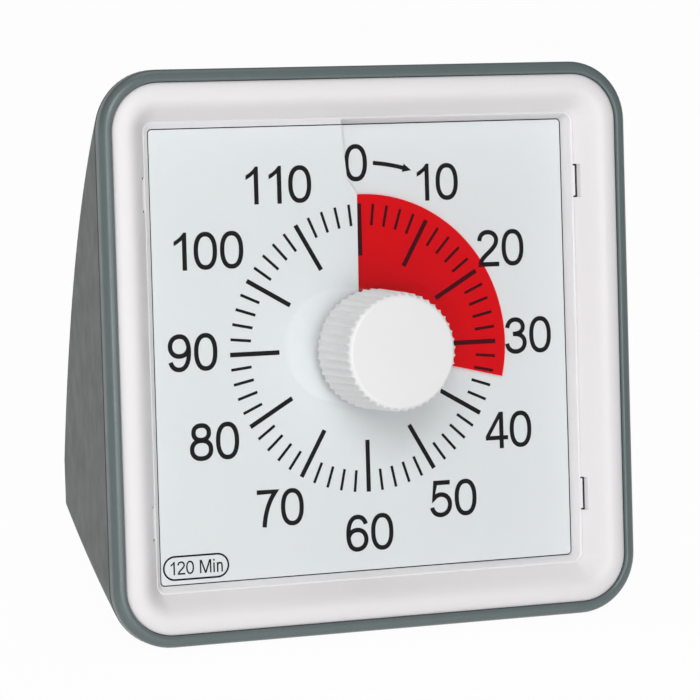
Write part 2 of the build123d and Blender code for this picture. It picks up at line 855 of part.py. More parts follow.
# ---------------------------------------------------------------- electronics
def make_circuit_board():
    board = Pos(0, board_y, board_z - board_t / 2) * Box(board_w, board_h, board_t)
    for x, y in board_posts():
        board -= pill(x, y, board_hole_r, board_z - 2 * board_t, board_z)
    return board


def make_board_parts():
    level = board_z - board_t
    right = board_w / 5
    block = Pos(-right, board_y, level - chip[2] / 2) * Box(*chip)
    can = Pos(right, board_y + 2 * crystal_r, level - crystal_r) * Rot(0, 90, 0)
    can *= Cylinder(crystal_r, crystal_len)
    drum = Pos(right, board_y - 2 * capacitor_r + 0.5, level - capacitor_h / 2)
    return [block, can, drum * Cylinder(capacitor_r, capacitor_h)]


# ---------------------------------------------------------------- battery bay
def bay_frame():
    """Back's depth at the bay, the cell's axis and the bay's half length."""
    back = rear_plane(bay_height).origin.Y
    axis_y = back - door_t - bay_back - cell_r
    return back, axis_y, (cell_len + cell_nub) / 2 + contact_room


def bay_box(grow):
    back, axis_y, reach = bay_frame()
    room = cell_r + bay_gap + grow
    front = axis_y - room
    depth = back + 5 - front
    return Pos(0, front + depth / 2, bay_height) * Box(2 * (reach + grow), depth, 2 * room)


def door_half_sizes():
    reach = bay_frame()[2]
    return reach + bay_wall + door_margin, cell_r + bay_gap + bay_wall + door_margin


def door_prism(grow):
    across, up = door_half_sizes()
    back = bay_frame()[0]
    outline = RectangleRounded(2 * (across + grow), 2 * (up + grow), door_corner + grow)
    prism = extrude(Plane.XZ * outline, amount=10, both=True)
    return Pos(0, back, bay_height) * prism


def door_lugs():
    """Hooks below the door's lower edge, behind the shell wall."""
    back, _, reach = bay_frame()
    low = bay_height - door_half_sizes()[1]
    inner_y = back - wall - lug_sink - lug_t
    lugs = []
    for x in (-lug_share * reach, lug_share * reach):
        hook = Box(lug_w, lug_t, lug_reach + door_margin, align=HOOK)
        neck = Box(lug_w, back - door_t / 2 - inner_y, door_margin, align=HOOK)
        lugs.append(Pos(x, inner_y, low - lug_reach) * hook + Pos(x, inner_y, low) * neck)
    return lugs


def lug_pockets():
    """Room for the hooks to swing in, open towards the bay."""
    back = bay_frame()[0]
    low = bay_height - door_half_sizes()[1] - lug_reach - door_gap
    depth = wall - door_t + lug_sink + lug_t + 2 * door_gap
    tall = lug_reach + door_margin + bay_wall + 2 * door_gap
    pockets = []
    for lug in door_lugs():
        pocket = Box(lug_w + 2 * door_gap, depth, tall, align=HOOK)
        pockets.append(Pos(lug.center().X, back - door_t - depth, low) * pocket)
    return pockets


def swing_room():
    """What the door's lower half leaves free behind it, so that its edge can tilt out."""
    across, up = door_half_sizes()
    hinge = rear_plane(bay_height - up).origin
    room = Box(2 * across, 2 * door_t, up, align=(Align.CENTER, Align.MAX, Align.MIN))
    return Pos(0, hinge.Y - door_t - fit, hinge.Z) * room


def make_battery_door():
    panel = (door_prism(0) & (FACE.location * (wedge(0) - wedge(door_t)))) - swing_room()
    back, axis_y, reach = bay_frame()
    across, up = door_half_sizes()
    for lug in door_lugs():
        panel += lug
    for x in (-rib_share * reach, rib_share * reach):
        rib = Pos(x, back - door_t, bay_height) * Box(door_rib_w, 2 * bay_back, 1.2 * cell_r)
        cell = Pos(x, axis_y, bay_height) * Rot(0, 90, 0) * Cylinder(cell_r + door_gap, 4 * door_rib_w)
        panel += (rib - cell) & (FACE.location * wedge(door_t / 2))
    for side in (-1, 1):
        slit = Box(tongue_slit_w, 2 * scoop_r, 2 * tongue_l)
        panel -= Pos(side * tongue_w / 2, back, bay_height + up) * slit
    return panel


def finger_scoop():
    back = bay_frame()[0]
    up = door_half_sizes()[1]
    scoop = Pos(0, back + scoop_r - scoop_d, bay_height + up) * Sphere(scoop_r)
    above = Box(2 * scoop_r, 2 * scoop_r, scoop_r, align=BASE)
    return scoop & (Pos(0, back, bay_height + up) * above)


def make_cell():
    _, axis_y, _ = bay_frame()
    start = -(cell_len + cell_nub) / 2
    body = Pos(start, axis_y, bay_height) * Rot(0, 90, 0) * Cylinder(cell_r, cell_len, align=BASE)
    body = fillet(body.edges().filter_by(GeomType.CIRCLE), cell_edge_r)
    nub = Rot(0, 90, 0) * Cylinder(cell_nub_r, cell_nub, align=BASE)
    return body + Pos(start + cell_len, axis_y, bay_height) * nub


def make_spring_contact():
    _, axis_y, reach = bay_frame()
    height = contact_room - contact_t - 2 * spring_wire - 0.1
    plate = Pos(-reach + contact_t / 2, axis_y, bay_height) * Box(contact_t, contact_w, contact_w)
    path = Helix(pitch=height / spring_turns, height=height, radius=spring_r, cone_angle=-spring_cone)
    wire = Plane(origin=path @ 0, z_dir=path % 0) * RegularPolygon(spring_wire, 6)
    coil = sweep(wire, path=path, is_frenet=True)
    coil = Pos(-reach + contact_t + spring_wire, axis_y, bay_height) * Rot(0, 90, 0) * coil
    return [plate, coil]


def make_plate_contact():
    _, axis_y, reach = bay_frame()
    plate = Pos(reach - contact_t / 2, axis_y, bay_height) * Box(contact_t, contact_w, contact_w)
    bump = Rot(0, -90, 0) * Cone(bump_r, bump_tip_r, contact_room - contact_t - 0.1, align=BASE)
    return plate + Pos(reach - contact_t, axis_y, bay_height) * bump


# ---------------------------------------------------------------- switch and sounder
def switch_plane():
    return rear_plane(switch_height, switch_x)


def on_plane(plane, x, y, low, high, width, height):
    box = Pos(x, y, (low + high) / 2) * Box(width, height, high - low)
    return plane.location * box


def switch_cuts():
    plane = switch_plane()
    long, high = switch_slot
    deep = wall + switch_deep
    cuts = on_plane(plane, 0, 0, -recess_d, wall, long + recess_room[0], high + recess_room[1])
    return cuts + on_plane(plane, 0, 0, -deep, wall, long, high)


def guide_blocks():
    plane = switch_plane()
    long, high = switch_slot
    inner = switch_body_w / 2 + fit
    blocks = []
    for side in (-1, 1):
        x = side * (inner + guide_t / 2)
        blocks.append(on_plane(plane, x, 0, -wall - switch_deep, -wall / 2, guide_t, switch_body_h))
    return blocks[0] + blocks[1]


def make_switch_slider():
    plane = switch_plane()
    long, high = switch_slot
    nub_w = long - switch_travel - 2 * door_gap
    x = -(long - nub_w) / 2 + door_gap
    under = -wall - fit
    slider = on_plane(plane, x, 0, under - 0.2, nub_out, nub_w, high - 2 * door_gap)
    slider += on_plane(plane, x, 0, under - slider_t, under, nub_w + 1.6, high + 2)
    for i in (-1, 0, 1):
        groove_x = x + nub_groove_step * i
        slider -= on_plane(plane, groove_x, 0, nub_out / 2, nub_out + 1, nub_groove_w, high)
    return slider


def make_switch_body():
    plane = switch_plane()
    top = -wall - fit - slider_t - fit
    body = on_plane(plane, 0, 0, -wall - switch_deep, top, switch_body_w, switch_body_h)
    back = -wall - switch_deep
    for i in (-1, 0, 1):
        body += on_plane(plane, pin_step * i, 0, back - pin_len, back + 0.5, *pin_size)
    return body


def grille_plane():
    return rear_plane(switch_height, grille_x)


def grille_cuts():
    plane = grille_plane()
    outer = grille_spread * grille_r
    step = 2 * outer / (grille_slots - 1)
    cuts = []
    for i in range(grille_slots):
        x = i * step - outer
        reach = sqrt(grille_r**2 - x**2) - 0.5
        slot = SlotOverall(2 * max(reach, grille_slot_w), grille_slot_w, rotation=90)
        cuts.append(plane.location * (Pos(x, 0, -10) * extrude(slot, amount=20)))
    return cuts


def sounder_ring():
    bore = sounder_r + fit
    ring = disc(bore + sounder_ring_t, -wall - sounder_ring_h, -wall / 2)
    ring -= disc(bore, -2 * wall - sounder_ring_h, 0)
    return grille_plane().location * ring


def make_sounder():
    low = -wall - sounder_gap - sounder_t
    case = disc(sounder_r, low, -wall - sounder_gap)
    case -= disc(sounder_port_r, -wall - sounder_gap - sounder_port_r, 0)
    return grille_plane().location * case


# ---------------------------------------------------------------- assembly
face_pieces = {
    "front_frame": make_front_frame,
    "front_bezel": make_bezel,
    "dial_lens": make_lens,
    "dial_sheet": make_dial,
    "time_film": make_film,
    "film_hub": make_film_hub,
    "knob": make_knob,
    "spindle": make_spindle,
    "zero_cam": make_zero_cam,
    "zero_contact": make_zero_contact,
    "dial_chassis": make_chassis,
    "bush_nut": make_bush_nut,
    "bush_washer": make_washer,
    "movement_front": make_movement_front,
    "movement_back": make_movement_back,
    "centre_wheel": make_centre_wheel,
    "third_wheel": make_third_wheel,
    "fourth_wheel": make_fourth_wheel,
    "motor_rotor": make_rotor,
    "motor_stator": make_stator,
    "motor_coil": make_coil,
    "circuit_board": make_circuit_board,
    "board_parts": make_board_parts,
    "case_screws": make_case_screws,
    "chassis_screws": make_chassis_screws,
}
table_pieces = {
    "rear_shell": make_rear_shell,
    "feet": make_feet,
    "battery_door": make_battery_door,
    "battery_cell": make_cell,
    "spring_contact": make_spring_contact,
    "plate_contact": make_plate_contact,
    "switch_slider": make_switch_slider,
    "switch_body": make_switch_body,
    "sounder": make_sounder,
}


def gathered(shape):
    """One shape from a solid or a list of separate solids."""
    solids = []
    for item in shape if isinstance(shape, list) else [shape]:
        solids += item.solids()
    return solids[0] if len(solids) == 1 else Compound(solids)


pieces = {name: FACE.location * gathered(maker()) for name, maker in face_pieces.items()}
pieces.update({name: gathered(maker()) for name, maker in table_pieces.items()})
boxes = [piece.bounding_box() for piece in pieces.values()]
front = min(box.min.Y for box in boxes)
back = max(box.max.Y for box in boxes)
to_origin = Pos(0, -(front + back) / 2, 0)

os.makedirs("parts", exist_ok=True)
for name, piece in pieces.items():
    export_step(to_origin * piece, f"parts/{name}.step")

centre = to_origin * Location(FACE.origin)
print("dial centre", centre.position, "outward", FACE.z_dir)
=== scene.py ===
# %% [markdown]
# # A visual countdown timer
#
# The object is a wedge-shaped desk timer. A ribbed knob winds a red film out of a slit in
# the dial, and the film shows how much time is left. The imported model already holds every
# piece at its real size. This lesson gives the pieces their finish, prints the dial, and
# rebuilds the pieces whose rounding or ribs deserve a finer mesh.

# %% Load the frame
import json
from math import atan2, ceil, cos, degrees, hypot, pi, radians, sin

import bmesh
import bpy
from mathutils import Matrix, Vector
from mathutils.geometry import interpolate_bezier


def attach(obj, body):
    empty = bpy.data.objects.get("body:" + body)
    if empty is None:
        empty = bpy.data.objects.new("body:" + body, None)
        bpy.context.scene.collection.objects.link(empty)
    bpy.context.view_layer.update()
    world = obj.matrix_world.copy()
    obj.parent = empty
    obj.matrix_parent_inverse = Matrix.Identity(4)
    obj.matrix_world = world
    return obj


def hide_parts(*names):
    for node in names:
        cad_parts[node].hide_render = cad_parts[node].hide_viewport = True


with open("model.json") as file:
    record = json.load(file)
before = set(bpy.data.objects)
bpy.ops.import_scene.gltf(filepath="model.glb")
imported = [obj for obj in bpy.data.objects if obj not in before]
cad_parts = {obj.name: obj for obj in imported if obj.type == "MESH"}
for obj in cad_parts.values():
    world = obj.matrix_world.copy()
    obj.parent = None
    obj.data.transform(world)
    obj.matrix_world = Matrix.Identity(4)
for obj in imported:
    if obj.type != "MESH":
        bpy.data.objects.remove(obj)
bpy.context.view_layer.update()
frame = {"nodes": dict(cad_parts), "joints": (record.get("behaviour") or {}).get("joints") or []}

# %% [markdown]
# ## The face's own frame
#
# The face leans back, so it is easier to think in its own directions: right, up the face,
# and out of the face. The knob's joint gives them: it sits at the dial's middle and its
# axis points straight into the face. Lengths on the face are written in millimetres.

# %% Face frame
mm = 0.001
knob_joint = next(joint for joint in frame["joints"] if joint["name"] == "knob_turn")
dial_centre = Vector(knob_joint["pos_m"])
outward = -Vector(knob_joint["axis"]).normalized()
rightward = Vector((1, 0, 0))
upward = outward.cross(rightward)


def on_face(x, y, z):
    """World place of a point given in millimetres right, up and out of the dial's middle."""
    return dial_centre + mm * (x * rightward + y * upward + z * outward)


def span(node, direction):
    """How far a node reaches along a direction, in millimetres from the dial's middle."""
    mesh = frame["nodes"][node].data
    reaches = [(v.co - dial_centre).dot(direction) / mm for v in mesh.vertices]
    return min(reaches), max(reaches)


print("dial's middle at", [round(c, 4) for c in dial_centre])
print(f"rim {span('front_frame', outward)[1]:.2f} mm in front of it")

# %% [markdown]
# ## Mesh helpers
#
# Most pieces here are grids: a row of points that is repeated along a path and joined by
# quads. A grid keeps the surface smooth and light. After welding the doubled points, edges
# sharper than a limit are marked sharp, so that flat and round parts both shade well.


# %% Grid and piece
def shown(name, data):
    """Object of a mesh, lamp or camera, linked to the scene."""
    made = bpy.data.objects.new(name, data)
    bpy.context.scene.collection.objects.link(made)
    return made


def piece_from(name, verts, faces, sharp_deg):
    """Object made of points in the world frame, welded, with outward normals."""
    mesh = bpy.data.meshes.new(name)
    mesh.from_pydata([tuple(v) for v in verts], [], faces)
    work = bmesh.new()
    work.from_mesh(mesh)
    bmesh.ops.remove_doubles(work, verts=work.verts, dist=1e-6)
    bmesh.ops.dissolve_degenerate(work, edges=work.edges, dist=1e-7)
    bmesh.ops.recalc_face_normals(work, faces=work.faces)
    work.to_mesh(mesh)
    work.free()
    mesh.shade_smooth()
    mesh.set_sharp_from_angle(angle=radians(sharp_deg))
    return shown(name, mesh)


def grid_faces(rows, columns, wrap_rows=False, wrap_columns=False):
    """Quads between neighbouring rows and columns of a list of points."""
    faces = []
    for i in range(rows if wrap_rows else rows - 1):
        for j in range(columns if wrap_columns else columns - 1):
            near, far = i * columns, (i + 1) % rows * columns
            beside = (j + 1) % columns
            faces.append((near + j, near + beside, far + beside, far + j))
    return faces


def bezier(points, steps):
    """Points along one cubic curve in the plane, from four control points."""
    controls = [Vector((x, y, 0)) for x, y in points]
    return [(p.x, p.y) for p in interpolate_bezier(*controls, steps)]


# %% [markdown]
# ## Material helpers
#
# A moulded plastic surface is never one flat value. The mould leaves a fine grain, which
# breaks up the highlight, and the colour and gloss drift a little over the part. Three
# noise textures give that: a fine one for the bump, a middle one for the roughness and a
# broad one for the colour. They read object coordinates, so they stay on the part.


# %% Node helpers
def add(tree, kind, inputs=None, **settings):
    """Add a shader node, set it, and set or link its inputs by name."""
    made = tree.nodes.new("ShaderNode" + kind)
    for name, value in settings.items():
        setattr(made, name, value)
    for name, value in (inputs or {}).items():
        if isinstance(value, bpy.types.NodeSocket):
            tree.links.new(value, made.inputs[name])
        else:
            made.inputs[name].default_value = value
    return made


def new_material(name):
    """Empty node material, its tree and its output node."""
    material = bpy.data.materials.new(name)
    material.use_nodes = True
    tree = material.node_tree
    tree.nodes.clear()
    return material, tree, add(tree, "OutputMaterial")


noise_low, noise_high = 0.3, 0.7


def noise(tree, size, detail=2.0):
    """Noise with features of about a size in metres, in object coordinates."""
    place = add(tree, "TexCoord").outputs["Object"]
    inputs = {"Vector": place, "Scale": 1 / size, "Detail": detail}
    return add(tree, "TexNoise", inputs).outputs["Fac"]


def varied(tree, factor, low, high):
    """A value that moves between two limits with a noise."""
    limits = {"From Min": noise_low, "From Max": noise_high, "To Min": low, "To Max": high}
    return add(tree, "MapRange", {"Value": factor, **limits}).outputs["Result"]


# %% Moulded plastic
colour_patch = 30 * mm
gloss_patch = 6 * mm
gloss_swing = 0.04


def shaded(colour, factor):
    """A colour made lighter or darker by a factor."""
    return (*[min(c * factor, 1.0) for c in colour], 1.0)


def moulded(name, colour, rough, grain=0.3 * mm, depth=0.01 * mm, drift=0.04, **extra):
    """Moulded plastic: a fine grain, uneven gloss and a slight drift of colour."""
    material, tree, output = new_material(name)
    tone = add(tree, "Mix", {"Factor": noise(tree, colour_patch, 3)}, data_type="RGBA")
    tone.inputs["A"].default_value = shaded(colour, 1 - drift)
    tone.inputs["B"].default_value = shaded(colour, 1 + drift)
    gloss = varied(tree, noise(tree, gloss_patch), rough - gloss_swing, rough + gloss_swing)
    relief = {"Height": noise(tree, grain), "Distance": depth, "Strength": 1.0}
    bump = add(tree, "Bump", relief).outputs["Normal"]
    inputs = {"Base Color": tone.outputs["Result"], "Roughness": gloss, "Normal": bump}
    body = add(tree, "BsdfPrincipled", {**inputs, **extra})
    tree.links.new(body.outputs["BSDF"], output.inputs["Surface"])
    return material


def dress(node, material):
    """Give a CAD node's material slots this material."""
    for slot in frame["nodes"][node].material_slots:
        slot.material = material


# %% [markdown]
# ## Housing
#
# The rim is a satin teal-grey plastic, which draws a line of light along its rounding. The
# rear shell and the battery door are a little greyer and matt. Their grain is a few tenths
# of a millimetre, so it shows only as a soft highlight.

# %% Housing plastic
teal_grey = (0.118, 0.150, 0.153)
shell_grey = (0.096, 0.108, 0.107)
soft_gloss = {"Specular IOR Level": 0.3}
housing_grain = 0.35 * mm
rim_plastic = moulded(
    "rim_plastic", teal_grey, rough=0.33, grain=housing_grain, depth=0.005 * mm
)
shell_plastic = moulded(
    "shell_plastic", shell_grey, rough=0.5, grain=housing_grain, depth=0.010 * mm, **soft_gloss
)
dress("front_frame", rim_plastic)
for node in ("rear_shell", "battery_door"):
    dress(node, shell_plastic)
print("housing plastic on the rim, the rear shell and the door")

# %% [markdown]
# ## White bezel
#
# The white frame round the dial rises in a soft crown beside the grey rim, falls in a dish
# to the lens, and ends in a bevel that meets the dial. Four slots in its window take the
# lens's snap tabs. A sweep could make the frame, but the slots would need cuts and the
# shading would suffer. A grid whose profile changes at the slots stays clean: each slot
# starts and ends where two copies of a station differ only in profile.

# %% Bezel sizes
bezel_half = span("front_bezel", rightward)[1]
bezel_corner = 11.85
bezel_w = 9.25
crown_z = span("front_bezel", outward)[1]
crown_in = 3.4
crown_ease = 1.3
edge_z = 8.0
edge_lean = 0.35
edge_ease = 1.0
dish_z = 3.25
fall_ease = 2.5
dish_ease_in = 1.5
dish_ease_up = 2.2
ledge_z = 2.6
ledge_w = 0.5
opening_half = 55.8
bevel_foot = 0.12
shelf_z = 5.3
leg_in = 3.6
leg_floor_z = 0.0
pitch = 2.4
dial_t = 0.8
dial_seat = 0.03
seat_half = 60.15
tab_y = 39.9
tab_half = 3.8
tab_end = 58.15
slot_side = 0.42
slot_end = 58.6
slot_mouth_z = 2.75
slot_floor = 0.05
flap_top_x = -5.45
flap_top_deg = 5.2
side_places = (-30, -20, -10, 0, 10, 20, 30)
corner_steps = 14
crown_steps = 12
dish_steps = 14
print(f"bezel {bezel_half:.2f} mm from the middle to its side, crown at {crown_z:.2f}")


# %% Winding and crown
def winding_z(angle):
    """Upper surface of the dial at an angle clockwise from the top, in degrees."""
    return pitch * (angle / 360 - 0.5) + dial_t / 2


def crown_curve():
    """Outer crown and dish of the bezel as (inset, level) points."""
    rise = [
        (0, edge_z), (edge_lean, edge_z + edge_ease),
        (crown_in - crown_ease, crown_z), (crown_in, crown_z),
    ]
    fall = [
        (crown_in, crown_z), (crown_in + fall_ease, crown_z),
        (bezel_w - dish_ease_in, dish_z + dish_ease_up), (bezel_w, dish_z),
    ]
    return bezier(rise, crown_steps) + bezier(fall, dish_steps)[1:]


print(f"dial surface climbs from {winding_z(0):.2f} to {winding_z(360):.2f} mm")


# %% Bezel profile
def cut_back(top, inset):
    """The curve with every point beyond an inset pulled back onto it."""
    k = next(i for i, (u, z) in enumerate(top) if u > inset)
    (u0, z0), (u1, z1) = top[k - 1], top[k]
    level = z0 + (z1 - z0) * (inset - u0) / (u1 - u0)
    return top[:k] + [(inset, level)] * (len(top) - k)


def bezel_profile(kind, angle):
    """Closed outline of the bezel as (inset, level) at a plain, side or tab station."""
    top = crown_curve()
    bottom = winding_z(angle) + dial_seat
    outer, inner = bezel_half - slot_end, bezel_half - tab_end
    if kind != "plain":
        top = cut_back(top, outer)
    slot = {
        "plain": [(bezel_w, ledge_z)] * 4,
        "side": [
            (outer, slot_mouth_z), (outer, bottom + slot_floor),
            (bezel_w, bottom + slot_floor), (bezel_w, ledge_z),
        ],
        "tab": [
            (outer, slot_mouth_z), (outer, bottom + slot_floor),
            (inner, bottom + slot_floor), (inner, ledge_z),
        ],
    }
    opening = bezel_half - opening_half
    seat_in = bezel_half - seat_half
    return top + slot[kind] + [
        (bezel_w + ledge_w, ledge_z),
        (opening, bottom + bevel_foot),
        (opening, bottom),
        (seat_in, bottom),
        (seat_in, min(bottom, leg_floor_z)),
        (leg_in, min(bottom, leg_floor_z)),
        (leg_in, shelf_z),
        (0, shelf_z),
    ]


# %% Stations round the square
def quarter_turns(x, y, quarter):
    """A point turned by a number of quarter turns about the dial's middle."""
    for _ in range(quarter):
        x, y = -y, x
    return x, y


def tab_marks(middle):
    """Places and kinds of the stations at one snap tab."""
    slot_half = tab_half + slot_side
    marks = []
    for side in (-1, 1):
        ends = [
            (middle + side * slot_half, "plain"), (middle + side * slot_half, "side"),
            (middle + side * tab_half, "side"), (middle + side * tab_half, "tab"),
        ]
        marks += ends if side < 0 else ends[::-1]
    return marks


def square_stations():
    """(base, direction, kind, angle, quarter) round the square, from the right side on."""
    flat = bezel_half - bezel_corner
    stations = []
    for quarter in range(4):
        marks = [(s, "plain", None) for s in (-flat, *side_places, flat)]
        if quarter in (0, 2):
            for middle in (-tab_y, tab_y):
                marks += [(s, kind, None) for s, kind in tab_marks(middle)]
        if quarter == 1:
            for angle in (-flap_top_deg, 360 - flap_top_deg):
                marks.append((-flap_top_x, "plain", angle))
        marks.sort(key=lambda mark: mark[0])
        stations += [((flat, s), (1, 0), kind, angle, quarter) for s, kind, angle in marks]
        for i in range(1, corner_steps):
            turn = radians(90 * i / corner_steps)
            stations.append(((flat, flat), (cos(turn), sin(turn)), "plain", None, quarter))
    return stations


# %% Place of a station
def station_point(station, reach):
    """Point of the face at a reach beyond a station's base."""
    (base_x, base_y), (dir_x, dir_y), _, _, quarter = station
    return quarter_turns(base_x + dir_x * reach, base_y + dir_y * reach, quarter)


def station_angle(station):
    """Clockwise angle of a station from the top, in degrees."""
    if station[3] is not None:
        return station[3]
    x, y = station_point(station, 1)
    return degrees(atan2(x, y)) % 360


# %% Bezel mesh
stations = square_stations()
bezel_points = []
for station in stations:
    for inset, level in bezel_profile(station[2], station_angle(station)):
        bezel_points.append(on_face(*station_point(station, bezel_corner - inset), level))
profile_count = len(bezel_points) // len(stations)
bezel_faces = grid_faces(len(stations), profile_count, wrap_rows=True, wrap_columns=True)
bezel = piece_from("bezel_white", bezel_points, bezel_faces, sharp_deg=30)
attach(bezel, "housing")
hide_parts("front_bezel")
print("bezel:", len(stations), "stations of", profile_count, "points")

# %% [markdown]
# ## Bezel plastic
#
# The bezel is smooth white plastic with a soft sheen that drifts a little. The faces below
# the slots' mouths are painted nearly black: painted shade for the dark inside of the case
# that the slots open into. They could be picked by number, but picking them by place still
# holds when the count of stations changes.

# %% Bezel plastic
bezel_white = (0.83, 0.81, 0.82)
# Painted shade: near black for the slot faces, standing in for the dark inside of the case.
slot_shade_dark = (0.004, 0.004, 0.004)
slack = 0.01
slot_low = -1.5
slot_in = bezel_half - bezel_w - slack
bezel_plastic = moulded(
    "bezel_plastic", bezel_white, rough=0.45, grain=0.25 * mm, depth=0.0006 * mm, drift=0.01,
    **soft_gloss,
)
bezel.data.materials.append(bezel_plastic)
# The second material is painted shade on the slot faces below their mouths.
bezel.data.materials.append(moulded("painted_slot_shade", slot_shade_dark, rough=0.6))
for face in bezel.data.polygons:
    spot = face.center - dial_centre
    across, along, level = (spot.dot(way) / mm for way in (rightward, upward, outward))
    beside_tab = abs(abs(along) - tab_y) < tab_half + slot_side + slack
    within_slot = slot_in < abs(across) < slot_end + slack
    if beside_tab and within_slot and slot_low < level < ledge_z - 2 * slack:
        face.material_index = 1
print("dark slot faces:", sum(face.material_index for face in bezel.data.polygons))

# %% [markdown]
# ## Lens
#
# The lens is a thin sheet of clear acrylic with four snap tabs. It shares the stations of
# the bezel, so it follows the window and fills each slot but for a fine gap. Its rows run
# from the hole for the film's hub out over one face, round the edge and back over the other.

# %% Lens mesh
lens_half = 57.45
lens_z = 2.63
lens_top = 3.2
lens_ease = 0.12
lens_hole_r = 8.8
lens_margin = 1.0


def lens_ring(inset, level, tabs=True):
    """One closed row of the lens's edge, or one inside it that passes the tabs by."""
    row = []
    for station in stations:
        outer = tab_end if tabs and station[2] == "tab" else lens_half
        reach = outer - bezel_half + bezel_corner - inset
        row.append(on_face(*station_point(station, reach), level))
    return row


def hole_ring(level):
    """The row round the hub's hole, in step with the edge rows."""
    row = []
    for station in stations:
        way = Vector(station_point(station, 1)).normalized() * lens_hole_r
        row.append(on_face(way.x, way.y, level))
    return row


lens_rows = [
    hole_ring(lens_z), lens_ring(lens_margin, lens_z, tabs=False),
    lens_ring(lens_ease, lens_z), lens_ring(0, lens_z + lens_ease),
    lens_ring(0, lens_top - lens_ease), lens_ring(lens_ease, lens_top),
    lens_ring(lens_margin, lens_top, tabs=False), hole_ring(lens_top),
]
lens_points = [point for row in lens_rows for point in row]
lens_faces = grid_faces(len(lens_rows), len(stations), wrap_rows=True, wrap_columns=True)
lens = piece_from("lens_clear", lens_points, lens_faces, sharp_deg=20)
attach(lens, "housing")
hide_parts("dial_lens")
print("lens:", len(lens.data.polygons), "faces")

# %% [markdown]
# ## Clear acrylic
#
# A full glass shader would throw noisy caustics on the dial for nothing, because a flat
# sheet hardly bends what is behind it. A transparent shader with a share of gloss gives the
# same look with clean light. The share grows with slant. Blender's Fresnel node would take
# the sheet's back face for the inside of a thick block, which mirrors everything at a slant
# and blackens the dial, so the share is worked out from Facing, which treats both faces
# alike. Shadow rays get no gloss, so the dial behind the lens stays fully lit.


# %% Clear sheet
haze_patch = 12 * mm
haze_swing = 0.4
slant_power = 5.0
mirror_white = (1, 1, 1, 1)


def gloss_share(tree, ior):
    """The reflected share by slant (Schlick's curve), the same for front and back faces."""
    straight = ((ior - 1) / (ior + 1))**2
    slant = add(tree, "LayerWeight", {"Blend": 0.5}).outputs["Facing"]
    steep = add(tree, "Math", {0: slant, 1: slant_power}, operation="POWER").outputs[0]
    return add(tree, "MapRange", {"Value": steep, "To Min": straight}).outputs["Result"]


def clear_sheet(name, tint, rough, ior):
    """Clear plastic that lets light through and mirrors a little."""
    material, tree, output = new_material(name)
    through = add(tree, "BsdfTransparent", {"Color": (*tint, 1)})
    limits = rough * (1 - haze_swing), rough * (1 + haze_swing)
    haze = varied(tree, noise(tree, haze_patch), *limits)
    mirror = add(tree, "BsdfGlossy", {"Color": mirror_white, "Roughness": haze})
    shadow = add(tree, "LightPath").outputs["Is Shadow Ray"]
    seen = add(tree, "Math", {0: 1.0, 1: shadow}, operation="SUBTRACT").outputs[0]
    factors = {0: gloss_share(tree, ior), 1: seen}
    share = add(tree, "Math", factors, operation="MULTIPLY").outputs[0]
    mix = add(tree, "MixShader", {0: share, 1: through.outputs[0], 2: mirror.outputs[0]})
    tree.links.new(mix.outputs[0], output.inputs["Surface"])
    return material


clear_acrylic = clear_sheet("clear_acrylic", (0.998, 1.0, 1.0), rough=0.06, ior=1.42)
lens.data.materials.append(clear_acrylic)
print("lens finish:", clear_acrylic.name)

# %% [markdown]
# ## Dial sheet
#
# The dial is one turn of a screw surface. It starts under the 0, climbs once round, and ends
# one pitch higher, where its free edge makes the flap that the film slips under. The edge
# runs straight beside the film and then swings aside, so that the 0 stays in full view. A
# grid of radial rows makes the turn, and the last rows lean over to the flap's edge.

# %% Dial sizes
dial_half = 60.0
dial_corner = 5.0
overlap_deg = 8
ray_step = 2
last_ray = 350
flap_rows = 6
flap_edge = [
    (9.0, -1.75), (14.0, -1.70), (20.0, -1.63), (26.0, -1.56), (32.0, -1.49), (36.0, -1.45),
    (38.3, -1.42), (38.9, -1.65), (39.7, -2.25), (40.6, -2.95), (41.5, -3.55), (42.3, -3.88),
    (43.4, -4.05), (46.0, -4.30), (49.4, -4.61), (52.5, -4.88), (55.4, -5.10), (60.0, flap_top_x),
]
print("flap edge of", len(flap_edge), "points")


def square_reach(angle):
    """Distance from the dial's middle to its edge at an angle in degrees."""
    long = max(abs(cos(radians(angle))), abs(sin(radians(angle))))
    short = min(abs(cos(radians(angle))), abs(sin(radians(angle))))
    flat = dial_half - dial_corner
    reach = dial_half / long
    if reach * short > flat:
        middle = flat * (long + short)
        reach = middle + (middle**2 - 2 * flat**2 + dial_corner**2) ** 0.5
    return reach


# %% Dial mesh
def dial_rows():
    """Rows of (x, y, angle) from the buried end of the sheet to the flap's edge."""
    first, last = flap_edge[0][0], flap_edge[-1][0]
    shares = [(y - first) / (last - first) for y, x in flap_edge]
    rows = []
    for angle in range(-overlap_deg, last_ray + 1, ray_step):
        turn = radians(angle)
        reaches = [first + share * (square_reach(angle) - first) for share in shares]
        rows.append([(r * sin(turn), r * cos(turn), angle) for r in reaches])
    ray = rows[-1]
    for k in range(1, flap_rows + 1):
        row = []
        for (x0, y0, _), (y1, x1) in zip(ray, flap_edge):
            x = x0 + (x1 - x0) * k / flap_rows
            y = y0 + (y1 - y0) * k / flap_rows
            row.append((x, y, 360 + degrees(atan2(x, y))))
        rows.append(row)
    return rows


def outline_of(rows, columns):
    """Numbers of the points round the edge of a grid, in order."""
    edge = list(range(columns))
    edge += [row * columns + columns - 1 for row in range(1, rows)]
    edge += [(rows - 1) * columns + i for i in range(columns - 2, -1, -1)]
    return edge + [row * columns for row in range(rows - 2, 0, -1)]


